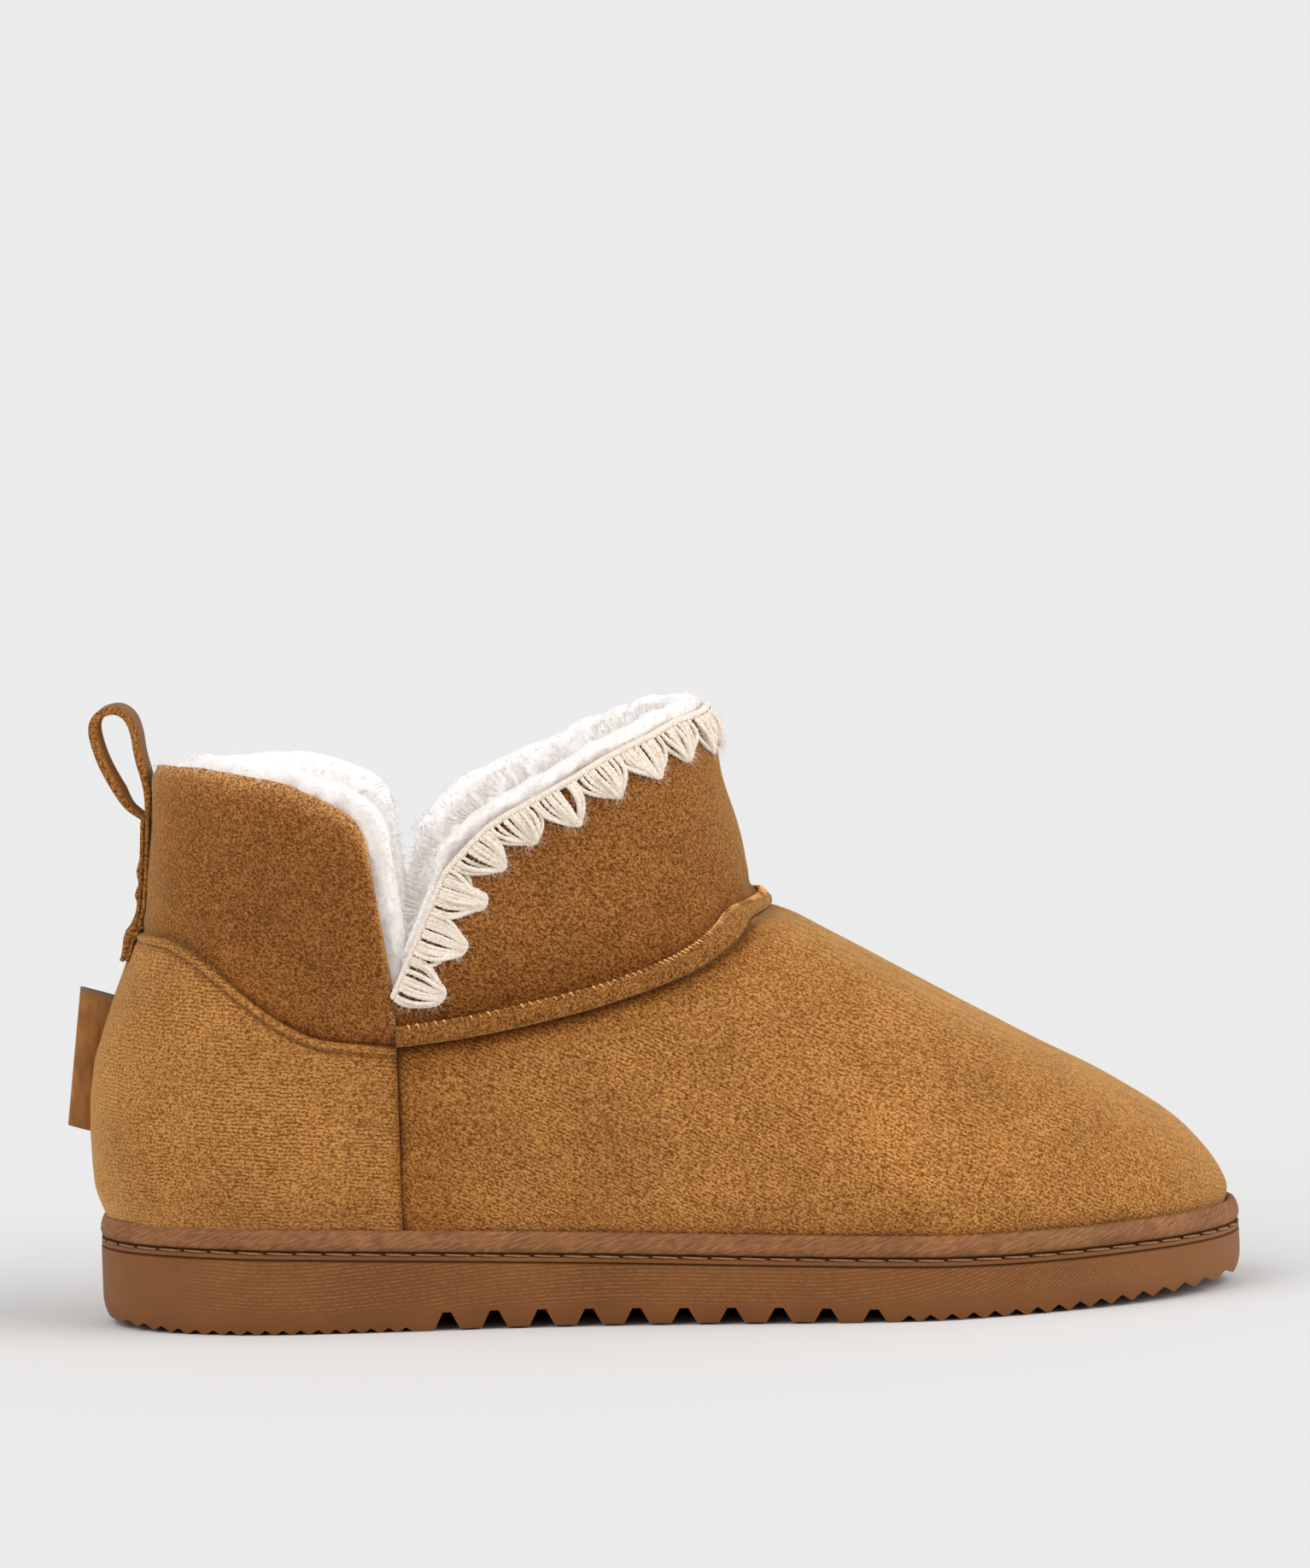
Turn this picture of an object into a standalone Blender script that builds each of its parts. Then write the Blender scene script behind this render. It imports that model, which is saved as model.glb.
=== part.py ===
"""Ankle bootie slipper for the right foot, standing empty on its sole.

Metres, +Z up, toe towards +X, the inner side of the foot towards +Y. The origin is on the floor
under the middle of the shoe. Every curved piece is worked out from one function, upper_point,
which gives the outer face of the upper at an angle round the foot and a height above the floor.
"""
import math

import bmesh
import bpy
import numpy as np
from mathutils import Vector

# Sizes of the foot and sole
SOLE_LENGTH = 0.2675
BALL_WIDTH = 0.0975
WAIST_WIDTH = 0.0690
HEEL_WIDTH = 0.0700
TOE_SWING = 0.0090
HEEL_SOLE_HEIGHT = 0.0205
FOREFOOT_SOLE_HEIGHT = 0.0147
TOE_SPRING = 0.0028
HEEL_SPRING = 0.0020
ARCH_LIFT = 0.0005
CLEARANCE = 0.0003

# Sizes of the upper
UPPER_WALL = 0.0025
INSTEP_HEIGHT = 0.0945
SIDE_SEAM_HEIGHT = 0.0670
SIDE_SEAM_FROM_HEEL = 0.0716
COUNTER_BACK_HEIGHT = 0.0923
COUNTER_STEP = 0.0006
COUNTER_STEP_RISE = 0.0012
NOTCH_HEIGHT = 0.0770
REAR_NOTCH_TOP = 0.1140
REAR_NOTCH_LEAN = 0.0055
FRONT_NOTCH_TOP = 0.1070
FRONT_NOTCH_LEAN = 0.0137
BACK_COLLAR_HEIGHT = 0.1320
FRONT_COLLAR_HEIGHT = 0.1397
COLLAR_FROM_HEEL = 0.0807
COLLAR_LENGTH = 0.1306
COLLAR_WIDTH = 0.0770

# Sizes of the welt, the insole and the raised seam
WELT_HEIGHT = 0.0053
WELT_SETBACK = 0.0004
UPPER_TUCK = 0.0046
TUCK_RISE = 0.0080
INSOLE_THICKNESS = 0.0045
ROLL_WIDTH = 0.0056
ROLL_HEIGHT = 0.0024
ROLL_CLEARANCE = 0.0005

# Sizes of the collar's trim
FLEECE_THICKNESS = 0.0055
FLEECE_CLEARANCE = 0.0006
FLEECE_RISE = 0.0042
FLEECE_SPREAD = 0.0034
FLEECE_DEPTH = 0.0080
YARN_THICKNESS = 0.0013
FAN_COUNT = 21
FAN_LENGTH = 0.0092
FAN_VALLEY = 0.0026

# Sizes of the pull loop and the heel tag
STRIP_WIDTH = 0.0120
STRIP_THICKNESS = 0.0011
LOOP_JOIN_HEIGHT = 0.1190
LOOP_RISE = 0.0262
LOOP_REACH = 0.0130
TAIL_END_HEIGHT = 0.0856
TAG_BOTTOM = 0.0468
TAG_HEIGHT = 0.0325
TAG_REACH_BOTTOM = 0.0048
TAG_REACH_TOP = 0.0086
TAG_WIDTH = 0.0026
TAG_THICKNESS = 0.0005

# Sizes of the sole's side and tread
SIDE_BEVEL_WIDTH = 0.0012
SIDE_BEVEL_HEIGHT = 0.0034
STITCH_GROOVE_DEPTH = 0.0016
STITCH_GROOVE_HEIGHT = 0.0013
CENTRE_BAND_WIDTH = 0.0300
LUG_COUNT = 10
LUG_PITCH = 0.01103
LUG_FIRST_FROM_HEEL = 0.0812
LUG_GAP_TOP = 0.0020
LUG_GAP_BOTTOM = 0.0060
LUG_DEPTH_BACK = 0.0042
LUG_DEPTH_FRONT = 0.0033
HEEL_TOOTH_PITCH = 0.0041
HEEL_TOOTH_DEPTH = 0.0011
FORE_TOOTH_PITCH = 0.0050
FORE_TOOTH_DEPTH = 0.0016
TOOTH_FLAT = 0.0005

# Angles round a section, in degrees from the back, where the tables give its half width
STATION_ANGLES = (45.0, 80.0, 112.0)

# Foot sections, a row for each height. rise: share of INSTEP_HEIGHT. back, front: shares of
# SOLE_LENGTH from the heel end. heel, waist, ball: shares of half of each width. blunt: how
# much blunter than an ellipse its ends are.
FOOT_SECTIONS = (
    # rise,  back,    front,  heel,  waist, ball,  blunt
    (0.170,  0.0004,  0.9980, 0.930, 0.985, 0.985, 0.20),
    (0.233,  0.0004,  0.9945, 0.935, 0.990, 0.985, 0.20),
    (0.286,  0.0000,  0.9835, 0.945, 1.000, 0.985, 0.20),
    (0.339, -0.0019,  0.9708, 0.955, 1.010, 0.975, 0.20),
    (0.402, -0.0034,  0.9507, 0.960, 1.030, 0.950, 0.20),
    (0.476, -0.0045,  0.9170, 0.955, 1.060, 0.905, 0.20),
    (0.550, -0.0037,  0.8763, 0.940, 1.085, 0.860, 0.20),
    (0.635,  0.0007,  0.8217, 0.915, 1.100, 0.815, 0.19),
    (0.720,  0.0082,  0.7694, 0.885, 1.110, 0.780, 0.18),
    (0.804,  0.0198,  0.7170, 0.845, 1.110, 0.750, 0.16),
    (0.889,  0.0329,  0.6647, 0.800, 1.105, 0.738, 0.13),
    (0.952,  0.0415,  0.6273, 0.775, 1.100, 0.733, 0.10),
    (1.000,  0.0464,  0.5963, 0.762, 1.099, 0.732, 0.08),
)

# Shaft sections, a row for each height. rise: share of the way from INSTEP_HEIGHT to
# FRONT_COLLAR_HEIGHT. back, front: shares of half COLLAR_LENGTH from the collar's middle.
# heel, waist, ball: shares of half COLLAR_WIDTH.
SHAFT_SECTIONS = (
    # rise,  back,    front,  heel,  waist, ball,  blunt
    (0.100, -1.0300,  1.1440, 0.690, 0.985, 0.927, 0.08),
    (0.300, -1.0170,  1.1160, 0.690, 0.985, 0.927, 0.08),
    (0.520, -1.0080,  1.0810, 0.690, 0.985, 0.927, 0.08),
    (0.740, -1.0030,  1.0440, 0.690, 0.985, 0.927, 0.08),
    (1.100, -0.9950,  0.9850, 0.690, 0.985, 0.927, 0.08),
)

# Middle line of the sole and foot. share: of SOLE_LENGTH from the heel end. swing: towards the
# inner side, share of TOE_SWING.
MIDDLE_LINE = (
    # share, swing
    (0.00,  0.00),
    (0.14,  0.00),
    (0.40, -0.30),
    (0.72,  0.06),
    (0.90,  0.55),
    (1.00,  1.00),
)

# Top line of the sole. share: of SOLE_LENGTH. rise: 0 at the forefoot's height, 1 at the heel's.
SOLE_TOP_LINE = (
    # share, rise
    (0.00,  1.00),
    (0.08,  0.95),
    (0.18,  0.83),
    (0.28,  0.66),
    (0.44,  0.38),
    (0.69,  0.06),
    (0.82, -0.08),
    (0.92, -0.03),
    (1.00,  0.00),
)

# Bottom line of the sole. share: of SOLE_LENGTH. heel, arch, toe: shares of HEEL_SPRING,
# ARCH_LIFT and TOE_SPRING that are added up there.
SOLE_BOTTOM_LINE = (
    # share, heel, arch, toe
    (0.00,  1.00, 0.00, 0.00),
    (0.04,  0.40, 0.00, 0.00),
    (0.09,  0.00, 0.00, 0.00),
    (0.26,  0.00, 0.00, 0.00),
    (0.34,  0.00, 1.00, 0.00),
    (0.60,  0.00, 1.00, 0.00),
    (0.68,  0.00, 0.00, 0.00),
    (0.80,  0.00, 0.00, 0.00),
    (0.87,  0.00, 0.00, 0.24),
    (0.94,  0.00, 0.00, 0.66),
    (1.00,  0.00, 0.00, 1.00),
)

# Seam over the heel counter. share: of the angle from the back to the side seam. rise: from
# SIDE_SEAM_HEIGHT to COUNTER_BACK_HEIGHT.
COUNTER_LINE = (
    # share, rise
    (0.00,  1.00),
    (0.16,  1.00),
    (0.34,  0.98),
    (0.46,  0.90),
    (0.59,  0.71),
    (0.70,  0.47),
    (0.79,  0.25),
    (0.87,  0.09),
    (1.00,  0.00),
)

# Top of the vamp. share: of the angle from the side seam to the front. rise: from
# SIDE_SEAM_HEIGHT to INSTEP_HEIGHT.
VAMP_LINE = (
    # share, rise
    (0.00,  0.00),
    (0.07,  0.06),
    (0.20,  0.23),
    (0.38,  0.51),
    (0.54,  0.75),
    (0.70,  0.92),
    (1.00,  1.00),
)

# Back collar edge. share: of the angle from the back to the notch. rise: from REAR_NOTCH_TOP to
# BACK_COLLAR_HEIGHT.
BACK_COLLAR_LINE = (
    # share, rise
    (0.00,  0.93),
    (0.20,  0.99),
    (0.45,  1.00),
    (0.61,  0.93),
    (0.76,  0.83),
    (0.85,  0.67),
    (0.94,  0.45),
    (0.98,  0.26),
    (1.00,  0.00),
)

# Front collar edge. share: of the angle from the notch to the front. rise: from
# FRONT_NOTCH_TOP to FRONT_COLLAR_HEIGHT.
FRONT_COLLAR_LINE = (
    # share, rise
    (0.00,  0.00),
    (0.045, 0.165),
    (0.095, 0.315),
    (0.18,  0.46),
    (0.28,  0.605),
    (0.39,  0.75),
    (0.53,  0.865),
    (0.67,  0.95),
    (1.00,  1.00),
)

# Free loop of the pull strip, from its outer layer round to its inner one. back: share of
# LOOP_REACH behind the panel. up: share of LOOP_RISE above the join.
LOOP_PATH = (
    # back, up
    (0.36, 0.10),
    (0.58, 0.28),
    (0.80, 0.50),
    (0.95, 0.73),
    (0.95, 0.89),
    (0.73, 0.98),
    (0.42, 0.98),
    (0.20, 0.89),
    (0.11, 0.74),
)

# Colours of the pieces, linear, with roughness
FINISHES = {
    "outsole": ((0.270, 0.120, 0.042), 0.55),
    "welt": ((0.300, 0.125, 0.050), 0.50),
    "upper": ((0.420, 0.190, 0.045), 0.95),
    "insole": ((0.850, 0.830, 0.790), 0.95),
    "ankle_roll": ((0.430, 0.190, 0.045), 0.90),
    "collar_fleece": ((0.900, 0.880, 0.850), 1.00),
    "crochet_edging": ((0.800, 0.740, 0.620), 0.95),
    "pull_loop": ((0.330, 0.140, 0.035), 0.90),
    "heel_tag": ((0.330, 0.150, 0.045), 0.45),
}

HEEL_END = -SOLE_LENGTH / 2
SIDE_SEAM_X = HEEL_END + SIDE_SEAM_FROM_HEEL
COLLAR_X = HEEL_END + COLLAR_FROM_HEEL
LATERAL, MEDIAL = -1, 1
ROLL_STEPS = 17


def smooth(table, share, column=1):
    """Value of a table's column at a share, on a smooth curve that never overshoots its rows."""
    xs = [row[0] for row in table]
    ys = [row[column] for row in table]
    if share <= xs[0]:
        return ys[0]
    if share >= xs[-1]:
        return ys[-1]
    slopes = [(ys[i + 1] - ys[i]) / (xs[i + 1] - xs[i]) for i in range(len(xs) - 1)]

    def tangent(i):
        if i == 0:
            return slopes[0]
        if i == len(xs) - 1:
            return slopes[-1]
        if slopes[i - 1] * slopes[i] <= 0:
            return 0.0
        return 2 * slopes[i - 1] * slopes[i] / (slopes[i - 1] + slopes[i])

    i = max(k for k in range(len(xs) - 1) if xs[k] <= share)
    width = xs[i + 1] - xs[i]
    t = (share - xs[i]) / width
    return ((2 * t**3 - 3 * t**2 + 1) * ys[i] + (t**3 - 2 * t**2 + t) * width * tangent(i)
            + (3 * t**2 - 2 * t**3) * ys[i + 1] + (t**3 - t**2) * width * tangent(i + 1))


def section_rows():
    """Foot and shaft sections as real sizes: height, back, front, three half widths, blunt."""
    rows = []
    for rise, back, front, heel, waist, ball, blunt in FOOT_SECTIONS:
        rows.append((rise * INSTEP_HEIGHT, HEEL_END + back * SOLE_LENGTH,
                     HEEL_END + front * SOLE_LENGTH, heel * HEEL_WIDTH / 2,
                     waist * WAIST_WIDTH / 2, ball * BALL_WIDTH / 2, blunt))
    half_length = COLLAR_LENGTH / 2
    half_width = COLLAR_WIDTH / 2
    for rise, back, front, heel, waist, ball, blunt in SHAFT_SECTIONS:
        height = INSTEP_HEIGHT + rise * (FRONT_COLLAR_HEIGHT - INSTEP_HEIGHT)
        rows.append((height, COLLAR_X + back * half_length, COLLAR_X + front * half_length,
                     heel * half_width, waist * half_width, ball * half_width, blunt))
    return tuple(rows)


SECTIONS = section_rows()
SECTION_CACHE = {}


def section_at(height):
    """Back, front, three half widths and blunt of the upper's section at a height."""
    key = round(height, 7)
    if key not in SECTION_CACHE:
        SECTION_CACHE[key] = tuple(smooth(SECTIONS, height, column) for column in range(1, 7))
    return SECTION_CACHE[key]


def share_along(angle, blunt):
    """Share of a section's length at an angle, 0 at the back and pi at the front."""
    return (1 - math.cos(angle) * (1 + blunt * math.sin(angle) ** 2)) / 2


def half_width(angle, widths):
    """Half width of a section at an angle, through its widths at the three stations."""
    stations = [math.radians(degrees) for degrees in STATION_ANGLES]
    fullness = [(0.0, widths[0] / math.sin(stations[0]))]
    for station, width in zip(stations, widths):
        fullness.append((station, width / math.sin(station)))
    return math.sin(angle) * smooth(fullness, angle)


def middle_y(x, height):
    """Swing of the foot's middle line, which dies out up the ankle."""
    fade = min(1.0, max(0.0, (NOTCH_HEIGHT - height) / (NOTCH_HEIGHT / 2)))
    return fade * TOE_SWING * smooth(MIDDLE_LINE, (x - HEEL_END) / SOLE_LENGTH)


def flat_outline(section, angle, height):
    """Point of a level section. A negative angle is on the outer side of the foot."""
    back, front, heel, waist, ball, blunt = section
    turn = abs(angle)
    x = back + (front - back) * share_along(turn, blunt)
    y = middle_y(x, height) + math.copysign(half_width(turn, (heel, waist, ball)), angle)
    return Vector((x, y, height))


def sole_line(angle):
    """Outer edge of the sole in plan."""
    section = (HEEL_END, -HEEL_END, 0.93 * HEEL_WIDTH / 2, WAIST_WIDTH / 2, BALL_WIDTH / 2, 0.20)
    return flat_outline(section, angle, 0.0)


def plan_normal(line, angle):
    """Outward normal in plan of a closed line."""
    step = 0.01
    along = line(wrap(angle + step)) - line(wrap(angle - step))
    return Vector((-along.y, along.x, 0.0)).normalized()


def wrap(angle):
    """Angle brought between -pi and pi."""
    return (angle + math.pi) % (2 * math.pi) - math.pi


def sole_edge(angle, inset):
    """Point in plan inside the sole's edge."""
    return sole_line(angle) - plan_normal(sole_line, angle) * inset


def sole_top(x):
    """Height of the sole's top face."""
    rise = smooth(SOLE_TOP_LINE, (x - HEEL_END) / SOLE_LENGTH)
    return FOREFOOT_SOLE_HEIGHT + rise * (HEEL_SOLE_HEIGHT - FOREFOOT_SOLE_HEIGHT)


def sole_bottom(x):
    """Height of the sole's bottom face before its tread is cut."""
    share = (x - HEEL_END) / SOLE_LENGTH
    heel, arch, toe = (smooth(SOLE_BOTTOM_LINE, share, column) for column in (1, 2, 3))
    return heel * HEEL_SPRING + arch * ARCH_LIFT + toe * TOE_SPRING


def tuck(x, height):
    """How far the foot of the upper is drawn in behind the welt."""
    low = sole_top(x)
    high = low + WELT_HEIGHT + TUCK_RISE
    share = min(1.0, max(0.0, (height - low) / (high - low)))
    return UPPER_TUCK * (1 - share) ** 1.5


def bare_point(angle, height):
    """Outer face of the upper before any offset, with its foot tucked in."""
    section = section_at(height)

    def line(turn):
        return flat_outline(section, turn, height)

    point = line(angle)
    return point - plan_normal(line, angle) * tuck(point.x, height)


def upper_normal(angle, height):
    """Outward normal of the upper."""
    turn, lift = 0.01, 0.0004
    around = bare_point(wrap(angle + turn), height) - bare_point(wrap(angle - turn), height)
    upward = bare_point(angle, height + lift) - bare_point(angle, height - lift)
    return upward.cross(around).normalized()


def upper_point(angle, height, out=0.0):
    """Point at a distance out from the outer face of the upper."""
    point = bare_point(angle, height)
    if out == 0.0:
        return point
    return point + upper_normal(angle, height) * out


def angle_at(x, height):
    """Angle, 0 to pi, at which the upper's section reaches a place along the foot."""
    back, front = section_at(height)[:2]
    blunt = section_at(height)[5]
    share = min(1.0, max(0.0, (x - back) / (front - back)))
    low, high = 0.0, math.pi
    for _ in range(40):
        middle = (low + high) / 2
        if share_along(middle, blunt) < share:
            low = middle
        else:
            high = middle
    return (low + high) / 2


def notch_edges(height, spread=0.0):
    """Places along the foot of the notch's rear and front edges, brought together by spread."""
    rear_share = (height - NOTCH_HEIGHT) / (REAR_NOTCH_TOP - NOTCH_HEIGHT)
    front_share = (height - NOTCH_HEIGHT) / (FRONT_NOTCH_TOP - NOTCH_HEIGHT)
    rear = SIDE_SEAM_X - REAR_NOTCH_LEAN * min(1.0, max(0.0, rear_share)) + spread
    front = SIDE_SEAM_X + FRONT_NOTCH_LEAN * min(1.0, max(0.0, front_share)) - spread
    middle = (rear + front) / 2
    return min(rear, middle), max(front, middle)


def rear_angle(share, height, spread=0.0):
    """Angle at a share of the way from the back to the notch."""
    return share * angle_at(notch_edges(height, spread)[0], height)


def front_angle(share, height, spread=0.0):
    """Angle at a share of the way from the notch to the front."""
    start = angle_at(notch_edges(height, spread)[1], height)
    return start + share * (math.pi - start)


def between(table, share, low, high):
    """Height on a seam or edge line."""
    return low + (high - low) * smooth(table, share)


def counter_height(share):
    return between(COUNTER_LINE, share, SIDE_SEAM_HEIGHT, COUNTER_BACK_HEIGHT)


def vamp_height(share):
    return between(VAMP_LINE, share, SIDE_SEAM_HEIGHT, INSTEP_HEIGHT)


def back_collar_height(share):
    return between(BACK_COLLAR_LINE, share, REAR_NOTCH_TOP, BACK_COLLAR_HEIGHT)


def front_collar_height(share):
    return between(FRONT_COLLAR_LINE, share, FRONT_NOTCH_TOP, FRONT_COLLAR_HEIGHT)


def foot_height(angle_from_share, share):
    """Height at which the upper stands on the sole."""
    guess = (HEEL_SOLE_HEIGHT + FOREFOOT_SOLE_HEIGHT) / 2
    x = bare_point(angle_from_share(share, guess), guess).x
    return sole_top(x) + CLEARANCE


class Shell:
    """Skin laid round the foot in level bands, split in two above the notches.

    rear and front are lists of height lines, each a function of the share from the back to the
    notch or from the notch to the front. Both lists have the same length, and meet at the notch
    up to the line numbered joined.
    """

    def __init__(self, rear, front, joined, bands, rear_columns, front_columns, out, spread=0.0):
        self.mesh = bmesh.new()
        self.lines = {"rear": rear, "front": front}
        self.joined = joined
        self.bands = bands
        self.columns = {"rear": rear_columns, "front": front_columns}
        self.out = out
        self.spread = spread
        self.found = {}

    def rows(self):
        """Each row as the number of the line below it and the share of the way up to the next."""
        rows = []
        for line, count in enumerate(self.bands):
            rows += [(line, step / count) for step in range(count)]
        return rows + [(len(self.bands), 0.0)]

    def height(self, patch, share, row):
        line, part = row
        low = self.lines[patch][line](share)
        if part == 0.0:
            return low
        return low + part * (self.lines[patch][line + 1](share) - low)

    def vertex(self, patch, column, row):
        """Column 0 is on the outer side's notch, and the last one on the inner side's."""
        count = self.columns[patch]
        along = column / count - 1
        key = (patch, column, row)
        at_notch = abs(along) == 1.0 if patch == "rear" else column in (0, 2 * count)
        if at_notch and row <= (self.joined, 0.0):
            key = ("notch", LATERAL if column == 0 else MEDIAL, row)
        if key not in self.found:
            side = LATERAL if along < 0 else MEDIAL
            share = abs(along) if patch == "rear" else 1 - abs(along)
            height = self.height(patch, share, row)
            place = rear_angle if patch == "rear" else front_angle
            angle = wrap(side * place(share, height, self.spread))
            self.found[key] = self.mesh.verts.new(upper_point(angle, height, self.out(patch, row)))
        return self.found[key]

    def build(self):
        rows = self.rows()
        for patch, flip in (("rear", False), ("front", True)):
            for low, high in zip(rows, rows[1:]):
                for column in range(2 * self.columns[patch]):
                    corners = [self.vertex(patch, column, low), self.vertex(patch, column + 1, low),
                               self.vertex(patch, column + 1, high), self.vertex(patch, column, high)]
                    self.mesh.faces.new(corners if flip else corners[::-1])
        return self.mesh


def parts_collection(name, hidden=False):
    collection = bpy.data.collections.new(name)
    bpy.context.scene.collection.children.link(collection)
    collection.hide_render = hidden
    return collection


def finish(name):
    """Plain material of a piece."""
    colour, roughness = FINISHES[name]
    material = bpy.data.materials.new(name)
    material.use_nodes = True
    shader = material.node_tree.nodes["Principled BSDF"]
    shader.inputs["Base Color"].default_value = (*colour, 1.0)
    shader.inputs["Roughness"].default_value = roughness
    shader.inputs["Metallic"].default_value = 0.0
    return material


def add_piece(name, mesh, collection, tidy=True):
    """Object made of a bmesh, with its faces pointing out."""
    if tidy:
        bmesh.ops.recalc_face_normals(mesh, faces=mesh.faces)
    data = bpy.data.meshes.new(name)
    mesh.to_mesh(data)
    mesh.free()
    data.shade_smooth()
    piece = bpy.data.objects.new(name, data)
    if name in FINISHES:
        data.materials.append(finish(name))
    collection.objects.link(piece)
    return piece


def thicken(piece, thickness, offset):
    """Solidify on an open skin. Offset -1 puts the wall inside, 0 on both sides."""
    solid = piece.modifiers.new("wall", "SOLIDIFY")
    solid.thickness = thickness
    solid.offset = offset
    solid.use_even_offset = True
    solid.use_quality_normals = True
    return solid


def ladder_solid(rings):
    """Closed body of rings from bottom to top, each starting at the heel and going round by the
    inner side. Its two ends are closed across, from one side of the foot to the other."""
    mesh = bmesh.new()
    count = len(rings[0])
    verts = [[mesh.verts.new(point) for point in ring] for ring in rings]
    for low, high in zip(verts, verts[1:]):
        for i in range(count):
            j = (i + 1) % count
            mesh.faces.new((low[i], low[j], high[j], high[i]))
    for ring, turned in ((verts[0], True), (verts[-1], False)):
        for i in range(count // 2):
            corners = [ring[i], ring[i + 1], ring[-i - 1], ring[-i]]
            if i == 0:
                corners = [ring[0], ring[1], ring[-1]]
            elif i == count // 2 - 1:
                corners = [ring[i], ring[i + 1], ring[-i]]
            mesh.faces.new(corners[::-1] if turned else corners)
    bmesh.ops.triangulate(mesh, faces=mesh.faces)
    return mesh


def round_angles(count):
    """Angles round the foot, from the heel by the inner side."""
    return [wrap(2 * math.pi * i / count) for i in range(count)]


def make_outsole(collection, cutters):
    """Unit sole: side wall with a bevelled foot and a stitch groove, then the tread is cut."""
    rings = []
    # Inset from the edge, and height above the bottom or below the top
    side = (
        (SIDE_BEVEL_WIDTH, 0.0, False),
        (0.0, SIDE_BEVEL_HEIGHT, False),
        (0.0, STITCH_GROOVE_HEIGHT + STITCH_GROOVE_DEPTH / 4, True),
        (STITCH_GROOVE_DEPTH / 4, STITCH_GROOVE_HEIGHT, True),
        (STITCH_GROOVE_DEPTH, STITCH_GROOVE_HEIGHT, True),
        (STITCH_GROOVE_DEPTH, 0.0, True),
    )
    for inset, height, from_top in side:
        ring = []
        for angle in round_angles(72):
            point = sole_edge(angle, inset)
            point.z = sole_top(point.x) - height if from_top else sole_bottom(point.x) + height
            ring.append(point)
        rings.append(ring)
    outsole = add_piece("outsole", ladder_solid(rings), collection)
    cut = outsole.modifiers.new("tread", "BOOLEAN")
    cut.operation = "DIFFERENCE"
    cut.solver = "EXACT"
    cut.object = make_tread_cutter(cutters)
    return outsole


def tread_gaps():
    """Side-view gaps of the tread: middle, width at the floor, width inside, depth."""
    gaps = []
    for i in range(LUG_COUNT):
        share = i / max(1, LUG_COUNT - 1)
        depth = LUG_DEPTH_BACK + (LUG_DEPTH_FRONT - LUG_DEPTH_BACK) * share
        middle = HEEL_END + LUG_FIRST_FROM_HEEL + i * LUG_PITCH
        gaps.append((middle, LUG_GAP_BOTTOM, LUG_GAP_TOP, depth))
    first_lug = HEEL_END + LUG_FIRST_FROM_HEEL - LUG_PITCH / 2
    last_lug = HEEL_END + LUG_FIRST_FROM_HEEL + (LUG_COUNT - 0.5) * LUG_PITCH
    place = first_lug - HEEL_TOOTH_PITCH
    while place > HEEL_END + HEEL_TOOTH_PITCH:
        gaps.append((place, HEEL_TOOTH_PITCH - TOOTH_FLAT, 0.0, HEEL_TOOTH_DEPTH))
        place -= HEEL_TOOTH_PITCH
    place = last_lug + FORE_TOOTH_PITCH / 2
    while place < -HEEL_END - FORE_TOOTH_PITCH / 2:
        gaps.append((place, FORE_TOOTH_PITCH - TOOTH_FLAT, 0.0, FORE_TOOTH_DEPTH))
        place += FORE_TOOTH_PITCH
    return gaps


def make_tread_cutter(cutters):
    """Prisms across each side of the sole, which leave a plain band down its middle."""
    mesh = bmesh.new()
    for middle, wide, narrow, depth in tread_gaps():
        base = sole_bottom(middle)
        top = [(middle + narrow / 2, base + depth)]
        if narrow > 0:
            top.append((middle - narrow / 2, base + depth))
        outline = [(middle - wide / 2, -depth), (middle + wide / 2, -depth),
                   (middle + wide / 2, base), *top, (middle - wide / 2, base)]
        for side in (LATERAL, MEDIAL):
            across = (side * CENTRE_BAND_WIDTH / 2, side * BALL_WIDTH)
            ends = [[mesh.verts.new((x, y, z)) for x, z in outline] for y in across]
            count = len(outline)
            for i in range(count):
                j = (i + 1) % count
                mesh.faces.new((ends[0][i], ends[0][j], ends[1][j], ends[1][i]))
            mesh.faces.new(ends[0])
            mesh.faces.new(ends[1])
    cutter = add_piece("tread_cutter", mesh, cutters)
    cutter.hide_render = True
    cutter.display_type = "WIRE"
    return cutter


def make_welt(collection):
    """Bound strip between the sole's edge and the foot of the upper."""
    mesh = bmesh.new()
    rings = []
    for angle in round_angles(96):
        edge = sole_edge(angle, WELT_SETBACK)
        low = sole_top(edge.x) + CLEARANCE
        high = sole_top(edge.x) + WELT_HEIGHT
        inner = []
        for share in (0.0, 0.45, 0.85):
            height = low + (high - low) * share
            inner.append(upper_point(angle, height, CLEARANCE))
        foot = sole_edge(angle, WELT_SETBACK + STITCH_GROOVE_DEPTH / 2)
        belly = sole_edge(angle, WELT_SETBACK)
        brow = sole_edge(angle, WELT_SETBACK + STITCH_GROOVE_DEPTH / 3)
        crown = inner[-1] + (brow - inner[-1]) * 0.5
        section = [inner[0], (foot.x, foot.y, low), (belly.x, belly.y, low + (high - low) * 0.45),
                   (brow.x, brow.y, low + (high - low) * 0.85), (crown.x, crown.y, high),
                   inner[2], inner[1]]
        rings.append([mesh.verts.new(point) for point in section])
    for ring, following in zip(rings, rings[1:] + rings[:1]):
        for i in range(len(ring)):
            j = (i + 1) % len(ring)
            mesh.faces.new((ring[i], ring[j], following[j], following[i]))
    return add_piece("welt", mesh, collection)


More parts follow.
